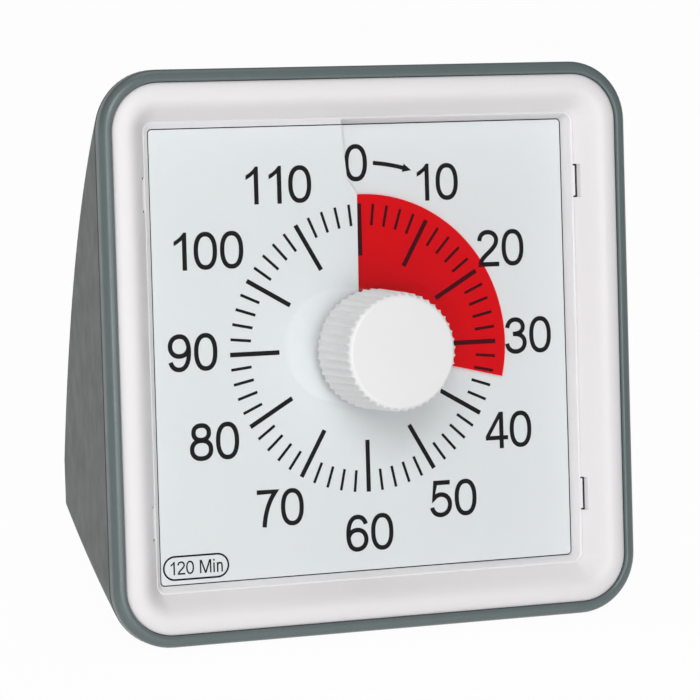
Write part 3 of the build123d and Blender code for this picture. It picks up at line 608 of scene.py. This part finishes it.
dial_grid = dial_rows()
dial_points = [point for row in dial_grid for point in row]
card_top = [on_face(x, y, winding_z(angle)) for x, y, angle in dial_points]
card_under = [on_face(x, y, winding_z(angle) - dial_t) for x, y, angle in dial_points]
dial_faces = grid_faces(len(dial_grid), len(flap_edge))
below = len(card_top)
dial_faces += [tuple(below + i for i in reversed(face)) for face in dial_faces]
card_edge = outline_of(len(dial_grid), len(flap_edge))
for here, after in zip(card_edge, card_edge[1:] + card_edge[:1]):
    dial_faces.append((here, after, below + after, below + here))
dial = piece_from("dial_wound", card_top + card_under, dial_faces, sharp_deg=30)
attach(dial, "housing")
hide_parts("dial_sheet")
print("dial:", len(dial_grid), "rows of", len(flap_edge), "points")

# %% [markdown]
# ## Dial card
#
# The sheet is matt, faintly blue-white card. It takes the same moulded finish as the other
# plastics, with a coarser and very shallow grain, because a printed card has hardly any.

# %% Dial finish
dial_white = (0.755, 0.785, 0.795)
dial_card = moulded(
    "dial_card", dial_white, rough=0.5, grain=0.5 * mm, depth=0.002 * mm, drift=0.01
)
dial.data.materials.append(dial_card)
print("dial finish:", dial_card.name)

# %% [markdown]
# ## Film
#
# The red film is translucent: white card shows through it as bright red, and black print as
# very dark red. A transparent shader tinted red filters the light once on its way in and
# once on its way out, as a real film does. A little diffuse red of its own keeps the print
# under it from going fully black. The CAD solid has the right shape and only gets this finish.


# %% Red film
film_filter = (1.0, 0.0, 0.045, 1)
film_own = (0.90, 0.006, 0.18, 1)
film_patch = 15 * mm
film_cloud = (0.022, 0.034)
film_rough = 0.2
film_ior = 1.15


def red_film(name):
    """Clear red sheet with a faint cloud of its own colour."""
    material, tree, output = new_material(name)
    filtered = add(tree, "BsdfTransparent", {"Color": film_filter})
    cloud = varied(tree, noise(tree, film_patch, 3), *film_cloud)
    own = add(tree, "BsdfDiffuse", {"Color": film_own})
    body = add(tree, "MixShader", {0: cloud, 1: filtered.outputs[0], 2: own.outputs[0]})
    mirror = add(tree, "BsdfGlossy", {"Color": mirror_white, "Roughness": film_rough})
    share = gloss_share(tree, film_ior)
    mix = add(tree, "MixShader", {0: share, 1: body.outputs[0], 2: mirror.outputs[0]})
    tree.links.new(mix.outputs[0], output.inputs["Surface"])
    return material


dress("time_film", red_film("red_film"))
print("film filter:", film_filter[:3])

# %% [markdown]
# ## Printing
#
# Ticks, numbers, arrow and the range label are ink on the dial. They are thin meshes that
# lie just above the card and follow its winding, so they stay sharp at any size. Blender's
# text objects would be quicker, but the built-in font has another character than the plain
# sans serif that such dials carry, so each figure is drawn here from strokes.

# %% Ink
ink_lift = 0.02
# The same black ink also paints the shadow line round the dial's window.
black_ink_and_shade = moulded(
    "black_ink_and_shade", (0.004, 0.004, 0.0045), rough=0.5, grain=0.2 * mm, depth=0.001 * mm,
    **{"Specular IOR Level": 0.1},
)
print("ink lies", ink_lift, "mm above the card")


# %% Ink helpers
def dial_mark_place(x, y, below_slit=False):
    """Place of a mark on the wound dial: print, and the painted shadow line."""
    angle = degrees(atan2(x, y))
    if angle < 0 and not below_slit:
        angle += 360
    return on_face(x, y, winding_z(angle) + ink_lift)


def paint_on_dial(name, shapes, below_slit=False):
    """One mesh on the dial from a list of (points, faces) in face millimetres."""
    verts, faces = [], []
    for points, polygons in shapes:
        start = len(verts)
        verts += [dial_mark_place(x, y, below_slit) for x, y in points]
        faces += [tuple(start + i for i in polygon) for polygon in polygons]
    mesh = bpy.data.meshes.new(name)
    mesh.from_pydata([tuple(v) for v in verts], [], faces)
    mesh.materials.append(black_ink_and_shade)
    piece = shown(name, mesh)
    work = bmesh.new()
    work.from_mesh(mesh)
    for face in work.faces:
        face.normal_update()
        if face.normal.dot(outward) < 0:
            face.normal_flip()
    work.to_mesh(mesh)
    work.free()
    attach(piece, "housing")
    print(name, len(faces), "faces")


# %% [markdown]
# ## Ticks
#
# A tick stands every two minutes and every fifth one is long and bold. The first one lies
# just beside the slit, on the lower end of the sheet, where the film passes over it, so it
# is printed as a piece of its own.

# %% Ticks
tick_outer = 36.0
tick_inner = 30.6
bold_inner = 23.0
tick_w = 0.72
bold_w = 1.15
ticks = 60


def tick_shape(angle, inner, width):
    """Radial bar at an angle clockwise from the top."""
    across = Vector((cos(radians(angle)), -sin(radians(angle))))
    along = Vector((sin(radians(angle)), cos(radians(angle))))
    corners = []
    for side, reach in ((-1, inner), (1, inner), (1, tick_outer), (-1, tick_outer)):
        corners.append(tuple(along * reach + across * (side * width / 2)))
    return corners, [(0, 1, 2, 3)]


def all_ticks(first, last):
    """Bars of the ticks from one number up to another."""
    shapes = []
    for k in range(first, last):
        bold = k % 5 == 0
        inner, width = (bold_inner, bold_w) if bold else (tick_inner, tick_w)
        shapes.append(tick_shape(360 * k / ticks, inner, width))
    return shapes


paint_on_dial("dial_ticks", all_ticks(1, ticks))
paint_on_dial("dial_zero_tick", all_ticks(0, 1), below_slit=True)

# %% [markdown]
# ## Figures
#
# Each figure is a list of strokes in a box one unit high. A stroke is a centre line with a
# constant pen width and square ends; curves are cubic pieces. Straight-sided shapes such as
# the 4 or the M are polygons.

# %% Pen
pen = 0.125
low_line = pen / 2
high_line = 1 - pen / 2
curve_steps = 10


def curve(start, *spans):
    """Centre line through cubic spans, each given as two handles and an end point."""
    line = [start]
    for handle_a, handle_b, end in spans:
        line += bezier([line[-1], handle_a, handle_b, end], curve_steps)[1:]
    return line


def oval(middle_x, middle_y, radius_x, radius_y, power=2.25, steps=40):
    """Closed rounded outline, a little squarer than an ellipse."""
    line = []
    for k in range(steps):
        turn = 2 * pi * k / steps
        x = abs(cos(turn)) ** (2 / power) * (1 if cos(turn) >= 0 else -1)
        y = abs(sin(turn)) ** (2 / power) * (1 if sin(turn) >= 0 else -1)
        line.append((middle_x + radius_x * x, middle_y + radius_y * y))
    return line


# %% Ribbons and flat shapes
mitre_limit = 0.5


def ribbon(line, closed=False, width=pen):
    """Quads along a centre line, with mitred corners."""
    points = []
    count = len(line)
    for i in range(count):
        here = Vector(line[i])
        ways = []
        if closed or i > 0:
            ways.append((here - Vector(line[i - 1])).normalized())
        if closed or i < count - 1:
            ways.append((Vector(line[(i + 1) % count]) - here).normalized())
        mean = sum(ways, Vector((0, 0))).normalized()
        across = Vector((-mean.y, mean.x))
        across *= width / 2 / max(mean.dot(ways[0]), mitre_limit)
        points += [tuple(here + across), tuple(here - across)]
    faces = []
    for i in range(count if closed else count - 1):
        a, b = 2 * i, 2 * ((i + 1) % count)
        faces.append((a, a + 1, b + 1, b))
    return points, faces


def polygon(*points):
    """One flat face from its corners."""
    return list(points), [tuple(range(len(points)))]


def upright(x, low, high):
    """Straight upright bar of the pen's width."""
    return polygon((x, low), (x + pen, low), (x + pen, high), (x, high))


# %% Figures one to four
def figure_one():
    stem = polygon((0.34, 0), (0.465, 0), (0.465, 1), (0.385, 1), (0.34, 0.93))
    flag = polygon(
        (0.34, 0.80), (0.34, 0.93), (0.385, 1), (0.30, 0.90),
        (0.21, 0.83), (0.11, 0.77), (0.11, 0.65), (0.22, 0.71),
    )
    return [stem, flag]


def figure_two():
    line = curve(
        (0.085, 0.70),
        ((0.095, 0.86), (0.19, high_line), (0.335, high_line)),
        ((0.48, high_line), (0.585, 0.84), (0.585, 0.715)),
        ((0.585, 0.56), (0.42, 0.44), (0.28, 0.32)),
        ((0.19, 0.24), (0.12, 0.17), (0.10, low_line)),
    )
    return [ribbon(line), polygon((0.02, 0), (0.66, 0), (0.66, pen), (0.10, pen))]


def figure_three():
    upper = curve(
        (0.085, 0.715),
        ((0.11, 0.86), (0.20, high_line), (0.325, high_line)),
        ((0.46, high_line), (0.555, 0.85), (0.555, 0.735)),
        ((0.555, 0.61), (0.45, 0.545), (0.25, 0.545)),
    )
    lower = curve(
        (0.30, 0.545),
        ((0.49, 0.545), (0.60, 0.44), (0.60, 0.305)),
        ((0.60, 0.16), (0.48, low_line), (0.33, low_line)),
        ((0.19, low_line), (0.09, 0.15), (0.07, 0.29)),
    )
    return [ribbon(upper), ribbon(lower)]


def figure_four():
    stem = upright(0.43, 0, 1)
    bar = polygon((0.02, 0.235), (0.69, 0.235), (0.69, 0.35), (0.02, 0.35))
    slope = polygon((0.43, 1.0), (0.02, 0.35), (0.15, 0.35), (0.43, 0.80))
    return [stem, bar, slope]


# %% Figures five to nine, and zero
def figure_five():
    line = [(0.61, high_line), (0.175, high_line)] + curve(
        (0.115, 0.50),
        ((0.17, 0.575), (0.25, 0.615), (0.335, 0.615)),
        ((0.49, 0.615), (0.60, 0.50), (0.60, 0.345)),
        ((0.60, 0.18), (0.48, low_line), (0.325, low_line)),
        ((0.19, low_line), (0.09, 0.145), (0.07, 0.275)),
    )
    return [ribbon(line)]


def figure_six():
    line = curve(
        (0.595, 0.735),
        ((0.56, 0.87), (0.47, high_line), (0.355, high_line)),
        ((0.18, high_line), (0.08, 0.77), (0.08, 0.47)),
        ((0.08, 0.20), (0.17, low_line), (0.335, low_line)),
        ((0.49, low_line), (0.60, 0.17), (0.60, 0.325)),
        ((0.60, 0.48), (0.49, 0.585), (0.345, 0.585)),
        ((0.20, 0.585), (0.10, 0.50), (0.085, 0.36)),
    )
    return [ribbon(line)]


def figure_seven():
    slope = curve((0.60, high_line), ((0.43, 0.74), (0.29, 0.40), (0.262, 0.0)))
    return [ribbon([(0.065, high_line)] + slope)]


def figure_eight():
    upper = oval(0.335, 0.745, 0.215, 0.1925)
    lower = oval(0.335, 0.30, 0.265, 0.2375)
    return [ribbon(upper, closed=True), ribbon(lower, closed=True)]


def figure_nine():
    width = 0.68
    return [([(width - x, 1 - y) for x, y in points], faces) for points, faces in figure_six()]


def figure_zero():
    return [ribbon(oval(0.335, 0.5, 0.265, 0.4375, power=2.3), closed=True)]


# %% Letter shapes
letter_stem = 0.08
letter_h = 0.73


def letter_m():
    stems = [upright(letter_stem, 0, 1), upright(0.915, 0, 1)]
    left = polygon((0.08, 1), (0.25, 1), (0.63, 0), (0.49, 0), (0.205, 0.78))
    right = polygon((0.87, 1), (1.04, 1), (0.915, 0.78), (0.63, 0), (0.49, 0))
    return stems + [left, right]


def letter_i():
    return [upright(letter_stem, 0, letter_h), upright(letter_stem, 0.86, 1)]


def letter_n():
    arch = curve(
        (0.145, 0.50),
        ((0.17, 0.62), (0.25, 0.68), (0.34, 0.68)),
        ((0.46, 0.68), (0.51, 0.60), (0.51, 0.46)),
    )
    return [upright(letter_stem, 0, letter_h), ribbon(arch + [(0.51, 0)])]


# %% Labels
figure_advance = 0.735
figure_bearing = 0.03
shapes_of = {
    "0": (figure_zero, figure_advance), "1": (figure_one, 0.65),
    "2": (figure_two, figure_advance), "3": (figure_three, figure_advance),
    "4": (figure_four, figure_advance), "5": (figure_five, figure_advance),
    "6": (figure_six, figure_advance), "7": (figure_seven, figure_advance),
    "8": (figure_eight, figure_advance), "9": (figure_nine, figure_advance),
    "M": (letter_m, 1.12), "i": (letter_i, 0.30), "n": (letter_n, 0.65), " ": (list, 0.33),
}
print(len(shapes_of), "signs")


def label(text, x, y, height, squeeze=1.0):
    """A word of figures, centred on a point of the face."""
    total = sum(shapes_of[sign][1] for sign in text)
    pen_x = -total / 2
    shapes = []
    for sign in text:
        build, advance = shapes_of[sign]
        for points, polygons in build():
            placed = []
            for px, py in points:
                right = squeeze * (pen_x + px + figure_bearing)
                placed.append((x + height * right, y + height * (py - 0.5)))
            shapes.append((placed, polygons))
        pen_x += advance
    return shapes


# %% [markdown]
# ## Numbers
#
# The numbers stand upright round the ring of ticks. Their middles lie near one circle, but
# the drawing balances wide numbers by eye, so each has its own place.

# %% Numbers
figure_h = 9.3
number_places = {
    "10": (20.95, 40.7), "20": (38.2, 23.5), "30": (45.2, 1.07), "40": (38.95, -22.7),
    "50": (23.1, -39.1), "60": (-0.05, -46.2), "70": (-24.05, -38.4), "80": (-40.65, -20.95),
    "90": (-45.7, 1.1), "100": (-41.25, 25.8), "110": (-22.55, 41.3),
}
number_shapes = []
for text, (x, y) in number_places.items():
    number_shapes += label(text, x, y, figure_h)
paint_on_dial("dial_numbers", number_shapes)
paint_on_dial("dial_zero", label("0", -0.53, 46.1, figure_h), below_slit=True)

# %% [markdown]
# ## Arrow
#
# A small arrow beside the 0 shows which way the film opens. Its shaft bends along the circle
# of the numbers, and its head is one triangle whose foot overlaps the shaft a little.

# %% Arrow
arrow_r = 46.1
arrow_w = 1.05
arrow_head_w = 2.15
arrow_head = 2.4
arrow_from, arrow_to = 5.05, 18.15
shaft_end = arrow_to - degrees(arrow_head / arrow_r)
shaft_tuck = 0.5
shaft_steps = 8


def arrow_point(angle, offset=0.0):
    """Point on the arrow's circle, or beside it, at an angle clockwise from the top."""
    reach = arrow_r + offset
    return reach * sin(radians(angle)), reach * cos(radians(angle))


shaft_sweep = shaft_end + shaft_tuck - arrow_from
shaft = [arrow_point(arrow_from + shaft_sweep * k / shaft_steps) for k in range(shaft_steps + 1)]
head = polygon(
    arrow_point(shaft_end, arrow_head_w / 2),
    arrow_point(arrow_to),
    arrow_point(shaft_end, -arrow_head_w / 2),
)
paint_on_dial("dial_arrow", [ribbon(shaft, width=arrow_w), head])

# %% [markdown]
# ## Painted shadow line
#
# A fine dark line is painted on the dial just inside the window: painted shade of the gap
# where the bezel's opening meets the dial. Its long straight runs would dip under the rising
# card between far points, so every run is divided into short steps that follow the winding.

# %% Painted shadow line
edge_line_half = 55.66
edge_line_corner = 1.0
edge_line_w = 0.26
edge_line_step = 2.0
edge_line_clear = 0.25
edge_line_from = -7.0
edge_corner_steps = 6


def dial_edge_shadow_line():
    """Painted shadow line round the dial, from the top clockwise to the flap."""
    flat = edge_line_half - edge_line_corner
    corners = [(0.0, edge_line_half)]
    for turn, mid_x, mid_y in ((90, 1, 1), (0, 1, -1), (-90, -1, -1), (180, -1, 1)):
        for k in range(edge_corner_steps + 1):
            way = radians(turn - 90 * k / edge_corner_steps)
            x = mid_x * flat + edge_line_corner * cos(way)
            y = mid_y * flat + edge_line_corner * sin(way)
            corners.append((x, y))
    corners.append((flap_top_x + edge_line_clear, edge_line_half))
    line = corners[:1]
    for here, after in zip(corners, corners[1:]):
        steps = ceil(hypot(after[0] - here[0], after[1] - here[1]) / edge_line_step)
        for k in range(1, steps + 1):
            line.append(tuple(a + (b - a) * k / steps for a, b in zip(here, after)))
    return line


start_line = [(edge_line_from, edge_line_half), (0.0, edge_line_half)]
# Both pieces are painted shade, laid on the dial in the black ink.
paint_on_dial("dial_edge_shadow_line", [ribbon(dial_edge_shadow_line(), width=edge_line_w)])
paint_on_dial("dial_edge_shadow_start", [ribbon(start_line, width=edge_line_w)], below_slit=True)

# %% [markdown]
# ## Range label
#
# The longest time stands in a small rounded frame in the lower left corner. It uses the same
# figures, a little squeezed, and the frame is one closed stroke.

# %% Range label
pill_x, pill_y = -46.4, -51.5
pill_w, pill_h = 17.3, 6.15
pill_pen = 0.46
pill_steps = 16
small_h = 3.3


def pill_line():
    """Centre line of the label's border, half circles joined by straight runs."""
    radius = (pill_h - pill_pen) / 2
    reach = (pill_w - pill_pen) / 2 - radius
    line = []
    for end, hand in ((90, -1), (-90, 1)):
        for k in range(pill_steps + 1):
            turn = radians(end + 180 * k / pill_steps)
            x = pill_x + hand * reach + radius * cos(turn)
            line.append((x, pill_y + radius * sin(turn)))
    return line


range_shapes = [ribbon(pill_line(), closed=True, width=pill_pen)]
range_shapes += label("120 Min", pill_x, pill_y, small_h, squeeze=0.95)
paint_on_dial("dial_range_label", range_shapes)

# %% [markdown]
# ## Knob
#
# The knob is white plastic with 45 ribs round its side and a plain flat cap. Between the
# ribs lie shallow hollow flutes, so the radius follows the sine of the rib angle, which is
# round in the flute and narrow on the rib. One turned profile with a share of rib depth at
# each level makes the whole knob, with its hollow back and its boss for the spindle. The
# knob narrows a little towards its cap, as a moulding must to leave its mould.

# %% Knob profile
knob_r = span("knob", rightward)[1]
knob_back_z, knob_front_z = span("knob", outward)
knob_ribs = 45
rib_depth = 0.6
rib_steps = 10
knob_draft = 0.5
cap_round = 1.0
knob_wall = 1.8
knob_web = 2.2
boss_r = 4.6
bore_r = 2.52
cap_share = 0.9
cap_steps = 8
plain_steps = 4
side_steps = 7
back_round = 0.3
back_in = 0.25
back_share = 0.8
print(f"knob radius {knob_r:.2f}, from {knob_back_z:.2f} to {knob_front_z:.2f} mm")


def knob_profile():
    """(radius, level, rib share) from the middle of the cap round to the bore."""
    roof = knob_front_z - knob_web
    inner_r = knob_r - rib_depth - knob_wall
    rim_r = knob_r - rib_depth * cap_share
    shoulder_z = knob_front_z - cap_round
    side_run = shoulder_z - knob_back_z - back_round
    profile = [(0, knob_front_z, 0), (rim_r - cap_round, knob_front_z, 0)]
    for k in range(1, cap_steps + 1):
        turn = radians(90 * k / cap_steps)
        share = max(0, k - plain_steps) / (cap_steps - plain_steps)
        radius = rim_r - cap_round + cap_round * sin(turn) + share * (knob_r - rim_r)
        profile.append((radius, shoulder_z + cap_round * cos(turn), share))
    for k in range(1, side_steps + 1):
        profile.append((knob_r, shoulder_z - side_run * k / side_steps, 1))
    return profile + [
        (knob_r - back_in, knob_back_z, back_share),
        (inner_r, knob_back_z, 0), (inner_r, roof, 0),
        (boss_r, roof, 0), (boss_r, knob_back_z, 0),
        (bore_r, knob_back_z, 0), (bore_r, roof, 0), (0, roof, 0),
    ]


# %% Knob mesh
flute_power = 0.8
taper_from = knob_r / 2
around = knob_ribs * rib_steps
knob_rows = knob_profile()
knob_points = []
for radius, level, share in knob_rows:
    taper = knob_draft * (level - knob_back_z) / (knob_front_z - knob_back_z)
    taper *= min(1, radius / taper_from)
    for k in range(around):
        turn = 2 * pi * k / around
        flute = abs(sin(knob_ribs * turn / 2)) ** flute_power
        reach = radius - rib_depth * share * flute - taper
        knob_points.append(on_face(reach * sin(turn), reach * cos(turn), level))
knob_faces = grid_faces(len(knob_rows), around, wrap_columns=True)
knob = piece_from("knob_ribbed", knob_points, knob_faces, sharp_deg=40)
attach(knob, "knob_shaft")
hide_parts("knob")
print("knob:", len(knob_rows), "levels,", around, "points round")

# %% Knob plastic
knob_white = (0.83, 0.83, 0.83)
knob_plastic = moulded(
    "knob_plastic", knob_white, rough=0.36, grain=0.6 * mm, depth=0.004 * mm, drift=0.01
)
knob.data.materials.append(knob_plastic)
print("knob finish:", knob_plastic.name)

# %% [markdown]
# ## Feet, switch and metal parts
#
# The rest is seen from behind, from below or not at all, but every piece still gets the
# finish of its real stuff: rubber, black switch plastic, plated steel, brass, copper wire,
# solder mask and the printed sleeve of the cell.


# %% Metal
metal_swing = 0.3
scratch_depth = 0.003 * mm
scratch_strength = 0.6


def metal(name, colour, rough, scratch=0.4 * mm):
    """Metal with fine uneven gloss."""
    material, tree, output = new_material(name)
    limits = rough * (1 - metal_swing), rough * (1 + metal_swing)
    gloss = varied(tree, noise(tree, scratch, 4), *limits)
    relief = {"Distance": scratch_depth, "Strength": scratch_strength}
    bump = add(tree, "Bump", {"Height": noise(tree, scratch), **relief}).outputs["Normal"]
    inputs = {"Base Color": (*colour, 1), "Metallic": 1.0, "Roughness": gloss, "Normal": bump}
    body = add(tree, "BsdfPrincipled", inputs)
    tree.links.new(body.outputs["BSDF"], output.inputs["Surface"])
    return material


# %% Small finishes
steel = metal("plated_steel", (0.60, 0.60, 0.61), 0.30)
brass = metal("turned_brass", (0.74, 0.56, 0.27), 0.28)
nickel = metal("nickel_plate", (0.66, 0.64, 0.60), 0.22)
copper = metal("enamelled_wire", (0.72, 0.30, 0.12), 0.35, scratch=0.15 * mm)
natural = moulded("natural_nylon", (0.72, 0.70, 0.63), rough=0.45)
pale = moulded("pale_plastic", (0.70, 0.70, 0.69), rough=0.48)
black_plastic = moulded("black_plastic", (0.020, 0.020, 0.021), rough=0.40)
rubber = moulded(
    "foot_rubber", (0.030, 0.030, 0.031), rough=0.72, grain=0.5 * mm, depth=0.03 * mm
)
mask_green = moulded("solder_mask", (0.015, 0.11, 0.04), rough=0.25, grain=2 * mm)
sleeve = moulded("cell_sleeve", (0.05, 0.07, 0.12), rough=0.22, grain=4 * mm)
print("metals:", steel.name, brass.name, nickel.name, copper.name)

# %% Dress the inner nodes
finishes = {
    "spindle": steel, "bush_washer": steel, "motor_stator": steel, "case_screws": steel,
    "chassis_screws": steel, "bush_nut": brass, "zero_contact": brass, "spring_contact": nickel,
    "plate_contact": nickel, "motor_coil": copper, "zero_cam": natural, "centre_wheel": natural,
    "third_wheel": natural, "fourth_wheel": natural, "motor_rotor": natural, "film_hub": pale,
    "dial_chassis": pale, "movement_front": black_plastic, "movement_back": black_plastic,
    "board_parts": black_plastic, "switch_slider": black_plastic, "switch_body": black_plastic,
    "sounder": black_plastic, "feet": rubber, "circuit_board": mask_green, "battery_cell": sleeve,
}
for node, material in finishes.items():
    dress(node, material)
print(len(finishes), "further nodes dressed")

# %% [markdown]
# ## Floor
#
# The timer stands on a wide pale floor. A plain white floor would need far more light than
# the object can bear, so most of what the camera sees of it is plain white emission, and
# the rest is lit, which keeps a trace of the object's soft shadow. Light that the floor
# throws back on the object still comes from the lit part alone.

# %% Floor
floor_half = 12.0
floor_white = 0.80
own_share = 0.97


def floor_material():
    """White to the camera and to mirrors, plain lit white to the rest of the light."""
    material, tree, output = new_material("pale_floor")
    rays = add(tree, "LightPath").outputs
    either = {0: rays["Is Camera Ray"], 1: rays["Is Glossy Ray"]}
    seen = add(tree, "Math", either, operation="MAXIMUM").outputs[0]
    either = {0: seen, 1: rays["Is Transmission Ray"]}
    seen = add(tree, "Math", either, operation="MAXIMUM").outputs[0]
    share = add(tree, "Math", {0: seen, 1: own_share}, operation="MULTIPLY")
    lit = add(tree, "BsdfDiffuse", {"Color": (floor_white, floor_white, floor_white, 1)})
    own = add(tree, "Emission", {"Color": (1, 1, 1, 1), "Strength": 1.0})
    mix = add(tree, "MixShader", {0: share.outputs[0], 1: lit.outputs[0], 2: own.outputs[0]})
    tree.links.new(mix.outputs[0], output.inputs["Surface"])
    return material


floor_ways = ((-1, -1), (1, -1), (1, 1), (-1, 1))
floor_corners = [(x * floor_half, y * floor_half, 0) for x, y in floor_ways]
floor_mesh = bpy.data.meshes.new("floor")
floor_mesh.from_pydata(floor_corners, [], [(0, 1, 2, 3)])
floor_mesh.materials.append(floor_material())
floor = shown("floor", floor_mesh)
print("floor:", 2 * floor_half, "m square")

# %% [markdown]
# ## Light
#
# Soft studio light: a large panel high on the left is the main lamp and gives the soft
# shadow to the knob's lower right. A weaker panel in front opens the face, a small one at
# the left draws the line of light along the rim, and one above and behind lights the top.
# A dim even world keeps the shadows from closing.


# %% Lamps
panels = {
    "key_left_high": ((-0.55, -1.05, 1.15), 0.75, 11.5),
    "front_fill": ((-0.20, -1.45, 0.30), 0.80, 6.3),
    "rim_light": ((-0.62, -1.12, 0.42), 0.12, 2.0),
    "top_back": ((0.10, 0.50, 1.30), 0.80, 2.6),
}


def panel(name, place, size, power):
    """Square area lamp at a place, aimed at the dial."""
    data = bpy.data.lights.new(name, "AREA")
    data.shape = "SQUARE"
    data.size = size
    data.energy = power
    lamp = shown(name, data)
    lamp.location = place
    lamp.rotation_euler = (dial_centre - Vector(place)).to_track_quat("-Z", "Y").to_euler()


for name, (place, size, power) in panels.items():
    panel(name, place, size, power)
    print(name, power, "W")

# %% World
world_light = 0.14
world = bpy.data.worlds.new("studio")
world.use_nodes = True
sky = world.node_tree.nodes["Background"].inputs
sky["Color"].default_value = (1, 1, 1, 1)
sky["Strength"].default_value = world_light
bpy.context.scene.world = world
bpy.context.scene.view_settings.view_transform = "Standard"
print("world light", world_light)

# %% [markdown]
# ## Camera
#
# A long lens keeps the square face nearly square. It looks from the left and a little above,
# aims near the dial's middle and is rolled so that the timer's left edge stands upright.

# %% Camera
camera_lens = 178.82
camera_place = on_face(-329.28, 51.2, 800.29)
camera_aim = on_face(-3.82, -0.37, 0)
camera_roll = radians(-1.64)
sensor_w = 36
near_clip = 0.05
ahead = (camera_aim - camera_place).normalized()
level_side = ahead.cross(upward).normalized()
level_up = level_side.cross(ahead)
rolled_side = level_side * cos(camera_roll) + level_up * sin(camera_roll)
turned = Matrix((rolled_side, rolled_side.cross(ahead), -ahead)).transposed()
camera_data = bpy.data.cameras.new("camera")
camera_data.lens = camera_lens
camera_data.sensor_width = sensor_w
camera_data.clip_start = near_clip
camera = shown("camera", camera_data)
camera.matrix_world = Matrix.Translation(camera_place) @ turned.to_4x4()
bpy.context.scene.camera = camera
print("camera at", [round(c, 4) for c in camera_place])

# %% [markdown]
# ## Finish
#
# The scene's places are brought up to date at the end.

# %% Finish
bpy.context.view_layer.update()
